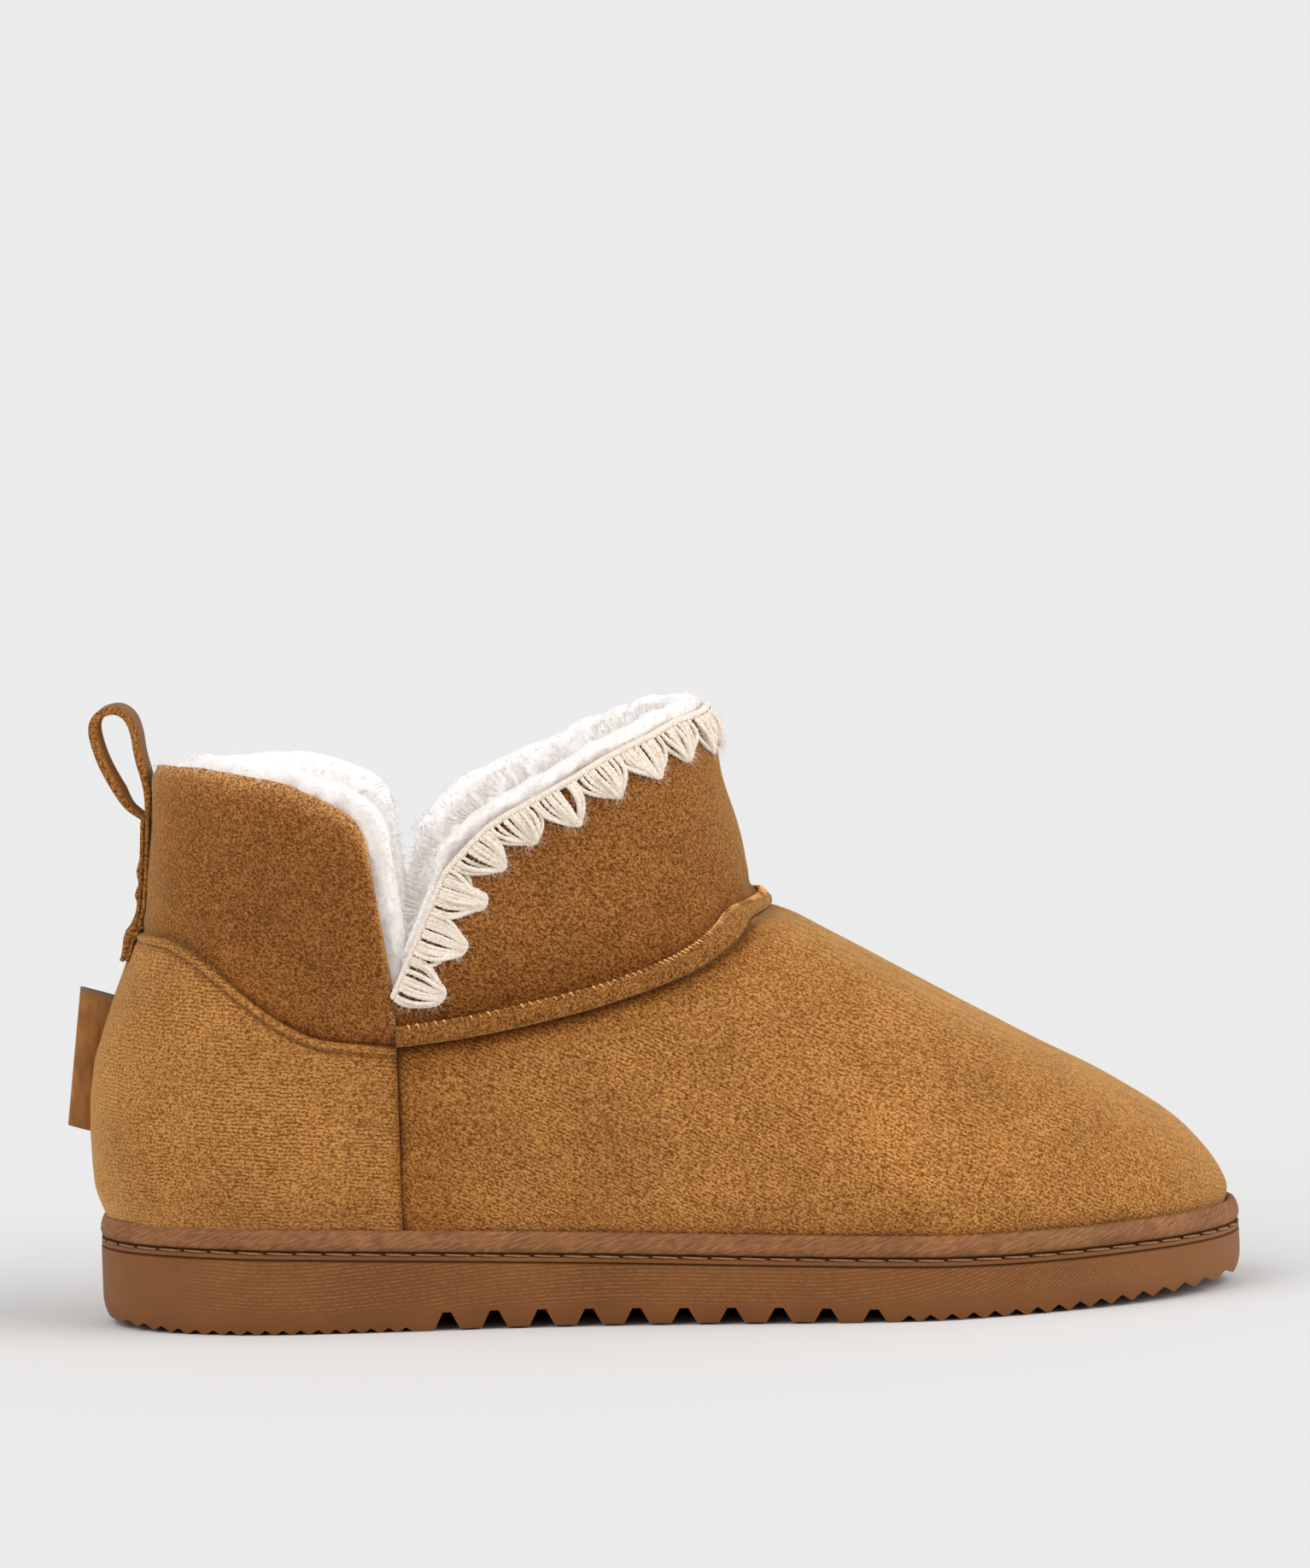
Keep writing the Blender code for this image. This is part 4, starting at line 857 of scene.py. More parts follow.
# Painted shade: dark lines at the folded top edge and in the topstitch groove, and darker along the side
# seams and above the welt
counter_cloth = suede("counter_suede", (0.180, 0.064, 0.015), (0.400, 0.171, 0.045),
                      (0.620, 0.298, 0.092), 4.0, 0.00090, 0.060,
                      top_shade=((0.0, 0.52), (0.5, 0.78), (1.0, 0.96), (1.7, 0.92), (2.2, 0.68),
                                 (2.6, 0.68), (3.4, 0.93), (4.8, 1.0)),
                      side_shade=((0.0, 0.52), (0.6, 0.74), (1.8, 0.92), (5.0, 1.0)),
                      foot_shade=((0.0, 0.62), (1.4, 0.84), (6.0, 1.0)))
sew_panel("counter", "rear", foot_height(rear_angle), counter_height, 215, 80, 1.6,
          counter_relief, counter_cloth)


# Shaft: two darker panels that stand up round the ankle, apart at the side notches.
# Their edges are turned in. A painted highlight makes the rear panel's turned edges a pale line, and
# painted shade darkens both panels along their feet.
def shaft_back_relief(to_seam, up, to_top, points):
    """Swell of the rear panel, round at its edges and flat under the counter."""
    edge = -0.0009 * hump(to_seam, 0.0, 0.0011) - 0.0017 * hump(to_top, 0.0, 0.0022)
    under_counter = -0.0005 * hump(up, 0.0, 0.0016)
    swell = 0.00035 * waves(points, 0.026, 7) + 0.00012 * waves(points, 0.010, 8)
    return edge + under_counter + swell * np.clip(up / 0.003, 0.0, 1.0)


def shaft_front_relief(to_seam, up, to_top, points):
    """Swell of the front panel, drawn in beside the roll."""
    edge = -0.0008 * hump(to_seam, 0.0, 0.0009) - 0.0009 * hump(to_top, 0.0, 0.0010)
    under_roll = -0.0005 * hump(up, 0.0060, 0.0020)
    swell = 0.00035 * waves(points, 0.030, 9) + 0.00012 * waves(points, 0.010, 10)
    return edge + under_roll + swell


# Painted highlight along the rear panel's top and notch edges, painted shade under the counter's fold
shaft_cloth = suede("shaft_suede", (0.110, 0.035, 0.008), (0.238, 0.086, 0.021),
                    (0.410, 0.168, 0.046), 34.0,
                    top_shade=((0.0, 2.1), (1.0, 1.80), (2.6, 1.32), (7.0, 1.0)),
                    side_shade=((0.0, 1.75), (0.8, 1.40), (2.0, 1.10), (4.5, 1.0)),
                    foot_shade=((0.0, 0.40), (0.6, 0.62), (1.8, 0.86), (5.0, 1.0)))
# Painted shade along the front panel's foot, beside the roll
shaft_front_cloth = suede("shaft_front_suede", (0.108, 0.035, 0.008), (0.262, 0.098, 0.025),
                          (0.460, 0.196, 0.056), 30.0,
                          foot_shade=((0.0, 0.36), (3.6, 0.44), (5.6, 0.68), (10.0, 0.82),
                                      (25.0, 1.0)))
SHAFT_SAG = 0.0040
sew_panel("shaft_back", "rear", counter_height, back_collar_height, 175, 60, 1.35,
          shaft_back_relief, shaft_cloth, sag=SHAFT_SAG)
sew_panel("shaft_front", "front", vamp_height, front_collar_height, 231, 60, 1.1,
          shaft_front_relief, shaft_front_cloth)

# Welt: a strip of coated cloth bound round the foot of the upper and lockstitched to the sole.
# It wrinkles on the slant, and each stitch sinks into the groove between two needle holes of painted
# shade.
WELT_COLUMNS = 900
WELT_SEAT = 0.0002
WELT_BULGE = 0.004
WRINKLE_PITCH = 0.0021
WRINKLE_LIFT = 0.00010
# share of the way from the upper out to the sole's edge, share of the welt's height
WELT_LIP = ((0.30, 0.00), (0.80, 0.03), (1.04, 0.14), (1.10, 0.34), (1.06, 0.58), (0.94, 0.80),
            (0.74, 0.94), (0.48, 1.00), (0.22, 0.97), (0.04, 0.86))
welt_angles = wrap(2 * np.pi * np.arange(WELT_COLUMNS) / WELT_COLUMNS)
edge = sole_edge(welt_angles, np.full(WELT_COLUMNS, WELT_SETBACK))
welt_reach = reach_along(np.concatenate([edge, edge[:1]]), 0)[:-1]
welt_out = plan_normal(SOLE_SECTION, welt_angles, 0 * welt_angles)
low = sole_top(edge[:, 0]) - WELT_SEAT
rings = []
for out_share, rise_share in WELT_LIP:
    height = low + (WELT_HEIGHT + WELT_SEAT) * rise_share
    inner = upper_point(welt_angles, height, CLEARANCE)
    outer = edge.copy()
    outer[:, 2] = height
    ring = inner + (outer - inner) * min(out_share, 1.0)
    ring += welt_out * max(out_share - 1.0, 0.0) * WELT_BULGE
    slant = welt_reach / WRINKLE_PITCH + rise_share * 1.9
    wrinkle = np.sin(2 * np.pi * slant + 2.2 * waves(edge, 0.016, 11))
    wrinkle = wrinkle * (0.55 + 0.45 * waves(edge, 0.009, 12))
    lift = WRINKLE_LIFT * wrinkle * min(1.0, 4 * rise_share * (1.1 - rise_share)) * (out_share > 0.4)
    ring += welt_out * lift[:, None]
    rings.append(ring)
rings = np.array(rings)
around = np.broadcast_to(welt_reach, rings.shape[:2])
upward = np.broadcast_to(np.array([rise for _, rise in WELT_LIP])[:, None], rings.shape[:2])
index = np.arange(rings.shape[0] * WELT_COLUMNS).reshape(rings.shape[0], WELT_COLUMNS)
index = np.concatenate([index, index[:1]])
after = np.roll(index, -1, axis=1)
welt_faces = np.stack([index[:-1], index[1:], after[1:], after[:-1]], axis=-1).reshape(-1, 4)
welt_mesh = mesh_of("welt_strip", rings, welt_faces,
                    cloth=np.stack([around, upward * WELT_HEIGHT, 0 * upward], axis=-1))
welt_cloth, tree, shader = new_finish("welt_coated_cloth", 0.55, specular=0.15)
place = own_place(tree)
flat = node(tree, "Attribute", {}, out=1, attribute_name="cloth")
fold_place = node(tree, "Mapping", {"Vector": flat, "Rotation": (0.0, 0.0, math.radians(-20.0)),
                                    "Scale": (7.0, 1.0, 1.0)}, vector_type="TEXTURE")
folds = speckle(tree, fold_place, 0.00046, 2.0, 0.5, 0.3)
tone = ramp(tree, folds, (0.30, (0.185, 0.073, 0.027)), (0.50, (0.258, 0.109, 0.042)),
            (0.70, (0.350, 0.162, 0.070)))
worn = ramp(tree, speckle(tree, place, 0.009, 3.0), (0.32, 0.86), (0.68, 1.12))
tone = blend(tree, 1.0, tone, worn, "MULTIPLY")
tree.links.new(tone, shader.inputs["Base Color"])
relief = raise_by(tree, folds, 0.00022, 0.55)
relief = raise_by(tree, speckle(tree, place, 0.00022, 2.0), 0.00005, 0.3, relief)
tree.links.new(relief, shader.inputs["Normal"])
add_piece("welt_strip", welt_mesh, welt_cloth, "welt", "welt")


def tube_faces(count, stations, sides):
    """Faces of many tubes with the same number of stations and sides."""
    index = np.arange(count * stations * sides).reshape(count, stations, sides)
    after = np.roll(index, -1, axis=2)
    return np.stack([index[:, :-1], after[:, :-1], after[:, 1:], index[:, 1:]], axis=-1).reshape(-1, 4)


def tubes(paths, radius, sides, facing):
    """Points and faces of tubes along paths. facing is a direction across each path."""
    count, stations = paths.shape[:2]
    along = np.empty_like(paths)
    along[:, 1:-1] = paths[:, 2:] - paths[:, :-2]
    along[:, 0], along[:, -1] = paths[:, 1] - paths[:, 0], paths[:, -1] - paths[:, -2]
    along = unit(along)
    first = unit(facing - (facing * along).sum(-1, keepdims=True) * along)
    second = np.cross(along, first)
    turn = 2 * np.pi * np.arange(sides) / sides
    ring = first[:, :, None] * np.cos(turn)[:, None] + second[:, :, None] * np.sin(turn)[:, None]
    radius = np.broadcast_to(radius, (count, stations))
    return paths[:, :, None] + ring * radius[:, :, None, None], tube_faces(count, stations, sides)


def at_reach(points, reach, wanted):
    """Points read off a closed line at distances along it."""
    closed = np.concatenate([points, points[:1]])
    marks = np.append(reach, reach[-1] + np.linalg.norm(points[0] - points[-1]))
    wanted = wanted % marks[-1]
    return np.stack([np.interp(wanted, marks, closed[:, axis]) for axis in range(3)], axis=-1)


def flecked(name, fleck, dark, light, roughness, **gloss):
    """Finish with soft flecks between two tones, each given as its level and its colour."""
    material, tree, shader = new_finish(name, roughness, **gloss)
    flecks = speckle(tree, own_place(tree), fleck, 2.0)
    tree.links.new(ramp(tree, flecks, dark, light), shader.inputs["Base Color"])
    return material


STITCH_PITCH = 0.0069
STITCH_SHARE = 0.86
STITCH_RADIUS = 0.00026
groove = sole_edge(welt_angles, np.full(WELT_COLUMNS, STITCH_GROOVE_DEPTH * 0.30))
groove[:, 2] = sole_top(groove[:, 0]) - STITCH_GROOVE_HEIGHT * 0.36
groove_reach = reach_along(groove, 0)
stitches = int(groove_reach[-1] / STITCH_PITCH)
t = np.linspace(0.0, 1.0, 11)
starts = np.arange(stitches) * groove_reach[-1] / stitches
along = starts[:, None] + t[None, :] * STITCH_PITCH * STITCH_SHARE
paths = at_reach(groove, groove_reach, along)
ways = unit(at_reach(welt_out, groove_reach, along))
sag = np.sin(np.pi * t) ** 0.6
paths = paths + ways * (0.00040 * sag - 0.0001)[None, :, None]
paths[:, :, 2] += 0.00020 * (t - 0.5)[None, :]
radius = STITCH_RADIUS * (0.25 + 0.75 * np.sin(np.pi * np.clip(t, 0.03, 0.97)) ** 0.35)
points, faces = tubes(paths, radius, 8, ways)
thread, tree, shader = new_finish("welt_thread", 0.55, sheen=0.15, specular=0.4)
twist = speckle(tree, node(tree, "Mapping", {"Vector": own_place(tree), "Scale": (1.0, 1.0, 0.3)}),
                0.0004, 2.0)
tree.links.new(ramp(tree, twist, (0.3, (0.190, 0.078, 0.028)), (0.7, (0.360, 0.175, 0.080))),
               shader.inputs["Base Color"])
tree.links.new(raise_by(tree, twist, 0.0002, 0.5), shader.inputs["Normal"])
add_piece("welt_stitches", mesh_of("welt_stitches", points, faces), thread, "welt", "welt")

# Needle holes: short tubes in the groove, dark with painted shade for the inside of each hole, one in
# each gap between two stitches
hole_at = starts - STITCH_PITCH * (1 - STITCH_SHARE) / 2
centres = at_reach(groove, groove_reach, hole_at)
ways = unit(at_reach(welt_out, groove_reach, hole_at))
depths = np.array([-0.0003, 0.0000, 0.0003])
paths = centres[:, None] + ways[:, None] * depths[None, :, None]
paths[:, :, 2] += 0.00015
points, faces = tubes(paths, np.array([0.00036, 0.00034, 0.0001]), 10,
                      np.broadcast_to(np.array([0.0, 0.0, 1.0]), paths.shape))
hole_shade = flecked("needle_hole_shade", 0.0005, (0.3, (0.028, 0.010, 0.004)), (0.7, (0.060, 0.024, 0.010)),
              0.9, specular=0.1)
add_piece("welt_needle_holes", mesh_of("welt_needle_holes", points, faces), hole_shade, "welt", "welt")

# Ankle roll: the seam between vamp and shaft, turned out as a soft bead and overlocked.
# Short golden loops of thread catch the light along its upper edge.
ROLL_WIDTH = 0.0048
ROLL_HEIGHT = 0.0023
ROLL_STATIONS, ROLL_SIDES = 420, 18


def roll_place(run, turn):
    """Angle, height and lift of the bead at a run from -1 to 1 and a turn round it."""
    share = 1 - np.abs(run)
    wide = ROLL_WIDTH * (1 - 0.42 * np.clip((share - 0.15) / 0.60, 0.0, 1.0))
    height = vamp_height(share) + wide / 2 * (1 + np.sin(turn))
    side = np.where(run < 0, OUTER_SIDE, INNER_SIDE)
    angle = wrap(side * front_angle(share, height))
    # The bead is fullest below and closes on the shaft above
    closing = 0.55 - 0.35 * np.clip((share - 0.75) / 0.20, 0.0, 1.0)
    full = 1 - closing * np.clip(np.sin(turn), 0.0, 1.0) + 0.10 * np.clip(-np.sin(turn), 0.0, 1.0)
    full = full * (1 - 0.38 * np.clip((share - 0.3) / 0.5, 0.0, 1.0))
    # It flattens over the instep, and both of its ends close at the side seams
    full = full * (1 - 0.30 * np.clip((share - 0.80) / 0.15, 0.0, 1.0))
    full = full * np.sqrt(np.clip(share / 0.008, 0.02, 1.0))
    return angle, height, ROLL_HEIGHT / 2 * (1 - np.cos(turn)) * full


run = np.linspace(-1.0, 1.0, ROLL_STATIONS)[:, None]
turn = 2 * np.pi * np.arange(ROLL_SIDES)[None, :] / ROLL_SIDES
angle, height, lift = roll_place(run, turn)
middle = bare_point(angle, height)
lift = lift * (1 + 0.10 * waves(middle, 0.008, 13)) + 0.00008 * waves(middle, 0.0024, 14)
roll_points = upper_point(angle, height, lift)
roll_reach = reach_along(roll_points[:, 0], 0)
roll_mesh = mesh_of("ankle_roll_bead", roll_points, tube_faces(1, ROLL_STATIONS, ROLL_SIDES))
roll_cloth = suede("roll_suede", (0.110, 0.036, 0.008), (0.262, 0.099, 0.024),
                   (0.460, 0.198, 0.054), -60.0)
add_piece("ankle_roll_bead", roll_mesh, roll_cloth, "suede", "ankle_roll")


def tapered(t):
    """Thickness of a stitch along its length, thin where it enters the cloth."""
    return 0.4 + 0.6 * np.sin(np.pi * np.clip(t, 0.05, 0.95))


# Overlock thread: short loops over the bead, each leaning a little, and none quite like the next
LOOP_PITCH = 0.00120
LOOP_LEAN = 0.0040
THREAD_RADIUS = 0.00024
loops = int(roll_reach[-1] / LOOP_PITCH)
middles = np.linspace(-0.985, 0.985, loops)
t = np.linspace(0.0, 1.0, 7)
draw = np.random.default_rng(21)
lean = LOOP_LEAN * (1 + 0.25 * draw.normal(size=loops))
# Over the instep the loops are finer and lie further out on the bead
instep = np.clip((0.45 - np.abs(middles)) / 0.35, 0.0, 1.0)[:, None]
runs = middles[:, None] + lean[:, None] * (1 - 0.65 * instep) * (t[None, :] - 0.5)
turns = np.pi * (0.22 + 0.56 * t[None, :] + 0.25 * instep)
angle, height, lift = roll_place(np.clip(runs, -1, 1), turns)
bow = 0.00016 + 0.00022 * np.sin(np.pi * t)
paths = upper_point(angle, height, lift + bow)
radius = THREAD_RADIUS * tapered(t) * (1 - 0.45 * instep)
points, faces = tubes(paths, radius, 6, upper_normal(angle, height))
golden = flecked("overlock_thread", 0.0026, (0.40, (0.42, 0.175, 0.040)), (0.56, (0.95, 0.52, 0.17)),
                 0.45, specular=0.35)
add_piece("ankle_roll_overlock", mesh_of("ankle_roll_overlock", points, faces), golden, "suede",
          "ankle_roll")

# Topstitch: one row of small machine stitches in brown thread, through the counter's folded edge
# and the shaft under it. Each stitch lies a little sunk in the cloth.
TOPSTITCH_PITCH = 0.0024
TOPSTITCH_RADIUS = 0.00017
TOPSTITCH_SINK = 0.00022
run = np.linspace(-1.0, 1.0, 1200)
share = np.abs(run)
height = counter_height(share) - TOPSTITCH_DROP * 0.93
angle = wrap(np.where(run < 0, OUTER_SIDE, INNER_SIDE) * rear_angle(share, height))
line = upper_point(angle, height, COUNTER_STEP - TOPSTITCH_SINK)
line_out = upper_normal(angle, height)
line_reach = reach_along(line, 0)
count = int(line_reach[-1] / TOPSTITCH_PITCH)
t = np.linspace(0.0, 1.0, 7)
along = (np.arange(count)[:, None] + 0.1 + 0.74 * t[None, :]) * line_reach[-1] / count
paths = np.stack([np.interp(along, line_reach, line[:, axis]) for axis in range(3)], axis=-1)
ways = unit(np.stack([np.interp(along, line_reach, line_out[:, axis]) for axis in range(3)], axis=-1))
paths = paths + ways * (0.00010 * np.sin(np.pi * t))[None, :, None]
points, faces = tubes(paths, TOPSTITCH_RADIUS * tapered(t), 6, ways)
brown_thread = flecked("counter_thread", 0.0009, (0.3, (0.100, 0.034, 0.008)),
                       (0.7, (0.230, 0.090, 0.022)), 0.55, sheen=0.1, specular=0.4)
add_piece("counter_topstitch", mesh_of("counter_topstitch", points, faces), brown_thread, "suede",
          "upper")

# Lining and footbed: the suede-look cloth is backed with white curly pile, which shows as the
# inside of the foot and shaft. The footbed is a foam sole covered with the same pile and laid in
# loose, its edge rounded down against the lining.
INSOLE_THICKNESS = 0.0045
LINING_OVERLAP = 0.009


def fleece_material(name, warm):
    """White curly pile: soft tufts, darker and warmer in their hollows as painted shade, and a painted
    glow.
    """
    material, tree, shader = new_finish(name, 1.0, sheen=1.0, sheen_roughness=0.7, specular=0.0)
    place = own_place(tree)
    tufts = speckle(tree, place, 0.0034, 4.0, 0.6, 0.8)
    curls = speckle(tree, place, 0.0010, 3.0, 0.6, 0.6)
    # Painted shade: the tufts are greyer and warmer where they sink
    soft = ramp(tree, tufts, (0.34, (0.83, 0.79, 0.76)), (0.48, (0.915, 0.885, 0.865)),
                (0.62, (0.955, 0.93, 0.915)))
    blush = ramp(tree, speckle(tree, place, 0.020, 2.0), (0.42, 0.0), (0.70, warm))
    # Painted shade: the pile is a little darker and creamier everywhere but on the far side of the
    # collar's pile
    far_side = mark_of(tree, "far_side")
    cream = blend(tree, far_side, (0.95, 0.915, 0.89), (1.0, 1.0, 1.0))
    tone = blend(tree, 1.0, blend(tree, blush, soft, (0.92, 0.865, 0.83)), cream, "MULTIPLY")
    tree.links.new(tone, shader.inputs["Base Color"])
    # Painted glow: an emission paints light into all of the pile, the most into the far side of the
    # collar's pile
    painted_glow = blend(tree, far_side, (0.53, 0.515, 0.505), tone)
    tree.links.new(painted_glow, shader.inputs["Emission Color"])
    shader.inputs["Emission Strength"].default_value = 0.24
    relief = raise_by(tree, tufts, 0.0014, 0.4)
    relief = raise_by(tree, curls, 0.0005, 0.3, relief)
    tree.links.new(relief, shader.inputs["Normal"])
    return material


pile = fleece_material("fleece_pile", 0.35)
FOOTBED_COLUMNS = 220
# share of the thickness, and how far in from the lining
FOOTBED_SECTION = ((0.0, 0.0), (0.55, 0.0), (0.86, 0.0004), (1.0, 0.0014), (1.05, 0.004),
                   (1.04, 0.010), (1.02, 0.018))
footbed_angles = wrap(2 * np.pi * np.arange(FOOTBED_COLUMNS) / FOOTBED_COLUMNS)
rings = []
for rise, extra in FOOTBED_SECTION:
    guess = 0 * footbed_angles + (HEEL_SOLE_HEIGHT + FOREFOOT_SOLE_HEIGHT) / 2
    along_x = bare_point(footbed_angles, guess)[:, 0]
    foot = sole_top(along_x) + CLEARANCE
    ring = bare_point(footbed_angles, foot)
    inset = UPPER_WALL + CLEARANCE + extra
    ring = ring - plan_normal(SOLE_SECTION, footbed_angles, guess) * inset
    ring[:, 2] = foot + rise * INSOLE_THICKNESS + (0.0004 * waves(ring, 0.009, 15) if rise > 0.9 else 0.0)
    rings.append(ring)
footbed_mesh = body_of_rings("footbed_fleece", np.array(rings))
footbed_mesh.shade_smooth()
footbed = add_piece("footbed_fleece", footbed_mesh, pile, "fleece", "insole")


def line_panel(name, patch, low, high, columns, rows):
    """Fleece skin inside a pair of panels."""
    angle, height = lay_out(patch, low, high, columns, np.linspace(0.0, 1.0, rows))
    bare = bare_point(angle, height)
    swell = 0.0003 * waves(bare, 0.006, 16)
    outer = upper_point(angle, height, -CLOTH_THICKNESS - 0.0010)
    inner = upper_point(angle, height, -UPPER_WALL - 0.0001 - np.abs(swell))
    add_piece(name, mesh_of(name, both_skins(outer, inner), thick_faces(rows, columns)), pile,
              "fleece", "upper")


line_panel("heel_lining", "rear", foot_height(rear_angle),
           lambda share: counter_height(share) + LINING_OVERLAP, 90, 34)
line_panel("vamp_lining", "front", foot_height(front_angle),
           lambda share: vamp_height(share) + LINING_OVERLAP, 150, 34)

# Collar fleece: the same pile in two thick bands inside the shaft. It is turned up over the
# collar's edge, where it stands as a soft white rim, and it fills both side notches.
FLEECE_THICKNESS = 0.0055
FLEECE_CLEARANCE = 0.0006
FLEECE_RISE = 0.0042
REAR_RISE = 0.0026
FLEECE_SPREAD = 0.0034
FLEECE_DEPTH = 0.0080
gap_rate = REAR_NOTCH_LEAN / (REAR_NOTCH_TOP - NOTCH_HEIGHT)
gap_rate += FRONT_NOTCH_LEAN / (FRONT_NOTCH_TOP - NOTCH_HEIGHT)
FLEECE_NOTCH = NOTCH_HEIGHT + 2 * FLEECE_SPREAD / gap_rate


def fleece_band(patch, low, high, columns, rows, seed, outer_spread, inner_spread, sag, spilt):
    """Closed thick band of pile, rounded over its top and its notch edges. On the inner side it
    leans further into the notch."""
    spread = np.where(np.linspace(-1.0, 1.0, columns) < 0, outer_spread, inner_spread)
    part = np.linspace(0.0, 1.0, rows)
    angle, height = lay_out(patch, low, high, columns, part, spread, sag)
    tufted = waves(bare_point(angle, height), 0.008, seed + 2)
    height = height + 0.00055 * tufted * part[:, None] ** 4
    bare = bare_point(angle, height)
    across, up = reach_along(bare, 1), reach_along(bare, 0)
    to_seam = np.minimum(across, across[:, -1:] - across)
    near = np.minimum(up[-1:] - up, np.where(height > FLEECE_NOTCH, to_seam, 1.0))
    half = FLEECE_THICKNESS / 2
    fat = half * np.sqrt(np.clip(1 - (1 - np.clip(near / half, 0.0, 1.0)) ** 2, 0.02, 1.0))
    lump = 0.00070 * waves(bare, 0.0065, seed) + 0.00050 * waves(bare, 0.0032, seed + 1)
    middle = -(UPPER_WALL + FLEECE_CLEARANCE + half)
    # Above the cloth the pile spills out over its edge
    spill = spilt * np.clip(1 - near / 0.006, 0.0, 1.0)
    outer = upper_point(angle, height, middle + fat + spill + np.minimum(lump, 0.0003))
    inner = upper_point(angle, height, middle - fat - 0.0006 * np.clip(near / 0.004, 0, 1) + lump)
    return outer, inner


def rear_pile_height(share):
    """The pile is low at the back seam and full towards the notch."""
    full = np.clip((share - 0.10) / 0.38, 0.0, 1.0)
    return back_collar_height(share) + REAR_RISE * full * full * (3 - 2 * full)


def front_pile_height(share):
    """The pile stands evenly above the front collar."""
    return front_collar_height(share) + FLEECE_RISE


fleece_points, fleece_faces, fleece_skins, fleece_sides = [], [], [], []
start = 0
# side, bottom and top, columns, rows, seed, spread in the outer and the inner notch, sag, spill
bands = (
    ("rear", lambda share: counter_height(share) + FLEECE_DEPTH, rear_pile_height,
     150, 40, 31, 0.0050, 0.0052, SHAFT_SAG, 0.0018),
    ("front", lambda share: vamp_height(share) + FLEECE_DEPTH, front_pile_height,
     210, 44, 41, FLEECE_SPREAD, 0.0095, 0.0, 0.0030),
)
for band in bands:
    outer, inner = fleece_band(*band)
    rows, columns = outer.shape[:2]
    fleece_points.append(both_skins(outer, inner))
    fleece_faces.append(thick_faces(rows, columns) + start)
    start += 2 * rows * columns
    fleece_skins.append((outer, inner))
    fleece_sides += [np.zeros(rows * columns), np.repeat(np.linspace(0.0, 1.0, rows), columns)]
fleece_mesh = mesh_of("collar_fleece_pile", np.concatenate(fleece_points),
                      np.concatenate(fleece_faces), far_side=np.concatenate(fleece_sides))
add_piece("collar_fleece_pile", fleece_mesh, pile, "fleece", "collar_fleece")


def curl_field(draw, roots, outs, longest, width):
    """Points and faces of thin curly fibres that stand out from roots."""
    count = len(roots)
    steps = np.linspace(0.0, 1.0, 5)
    way = unit(outs + 0.75 * draw.normal(size=outs.shape))
    bend = unit(np.cross(way, draw.normal(size=outs.shape)))
    other = np.cross(way, bend)
    length = longest * draw.uniform(0.35, 1.0, size=(count, 1, 1))
    swirl = draw.uniform(0, 2 * np.pi, size=(count, 1))
    swirl = swirl + steps[None, :] * draw.uniform(3.0, 7.5, size=(count, 1))
    curl = 0.20 * length[:, :, 0] * steps[None, :]
    paths = roots[:, None] + way[:, None] * (length * steps[None, :, None])
    paths = paths + bend[:, None] * (curl * np.cos(swirl))[..., None]
    paths = paths + other[:, None] * (curl * np.sin(swirl))[..., None]
    paths[:, :, 2] -= 0.18 * length[:, :, 0] * steps[None, :] ** 2
    radius = width / 2 * (1 - 0.75 * steps)
    return tubes(paths, radius, 3, np.broadcast_to(bend[:, None], paths.shape))


def between(grid, row, column):
    """Points of a grid read off between its rows and columns."""
    i, j = np.minimum(row.astype(int), len(grid) - 2), column.astype(int)
    up, over = (row - i)[:, None], (column - j)[:, None]
    return (grid[i, j] * (1 - up) * (1 - over) + grid[i + 1, j] * up * (1 - over)
            + grid[i, j + 1] * (1 - up) * over + grid[i + 1, j + 1] * up * over)


# Loose fibres of the pile, with their roots a little inside it
draw = np.random.default_rng(51)
roots, outs = [], []
FIBRES = 8000
FIBRE_LENGTH = 0.0032
FIBRE_WIDTH = 0.00028
FIBRE_ROOT = 0.0004
all_columns = sum(outer.shape[1] for outer, _ in fleece_skins)
for outer, inner in fleece_skins:
    rows, columns = outer.shape[:2]
    centre = (outer + inner) / 2
    for face, weight in ((outer, 0.40), (inner, 0.60)):
        picks = int(FIBRES * weight * columns / all_columns)
        # Most fibres stand near the rim, where they show
        r = (rows - 1) * np.clip(1 - np.abs(draw.normal(size=picks)) * 0.33, 0.05, 0.999)
        c = draw.uniform(0, columns - 1.001, size=picks)
        # and along the edges in the notches
        side = draw.uniform(size=picks) < 0.25
        at_edge = np.abs(draw.normal(size=picks)) * 2.5
        at_edge = np.where(draw.uniform(size=picks) < 0.5, at_edge, columns - 1.002 - at_edge)
        c = np.where(side, at_edge, c)
        r = np.where(side, draw.uniform(0.35 * rows, rows - 1.01, size=picks), r)
        spot = between(face, r, c)
        off = unit(spot - between(centre, r, c))
        rim_pull = np.clip((r / (rows - 1) - 0.8) / 0.2, 0, 1)[:, None]
        roots.append(spot)
        outs.append(unit(off + rim_pull * np.array([0.0, 0.0, 1.0])))
roots, outs = np.concatenate(roots), np.concatenate(outs)
points, faces = curl_field(draw, roots - outs * FIBRE_ROOT, outs, FIBRE_LENGTH, FIBRE_WIDTH)
add_piece("collar_fleece_curls", mesh_of("collar_fleece_curls", points, faces), pile, "fleece",
          "collar_fleece")

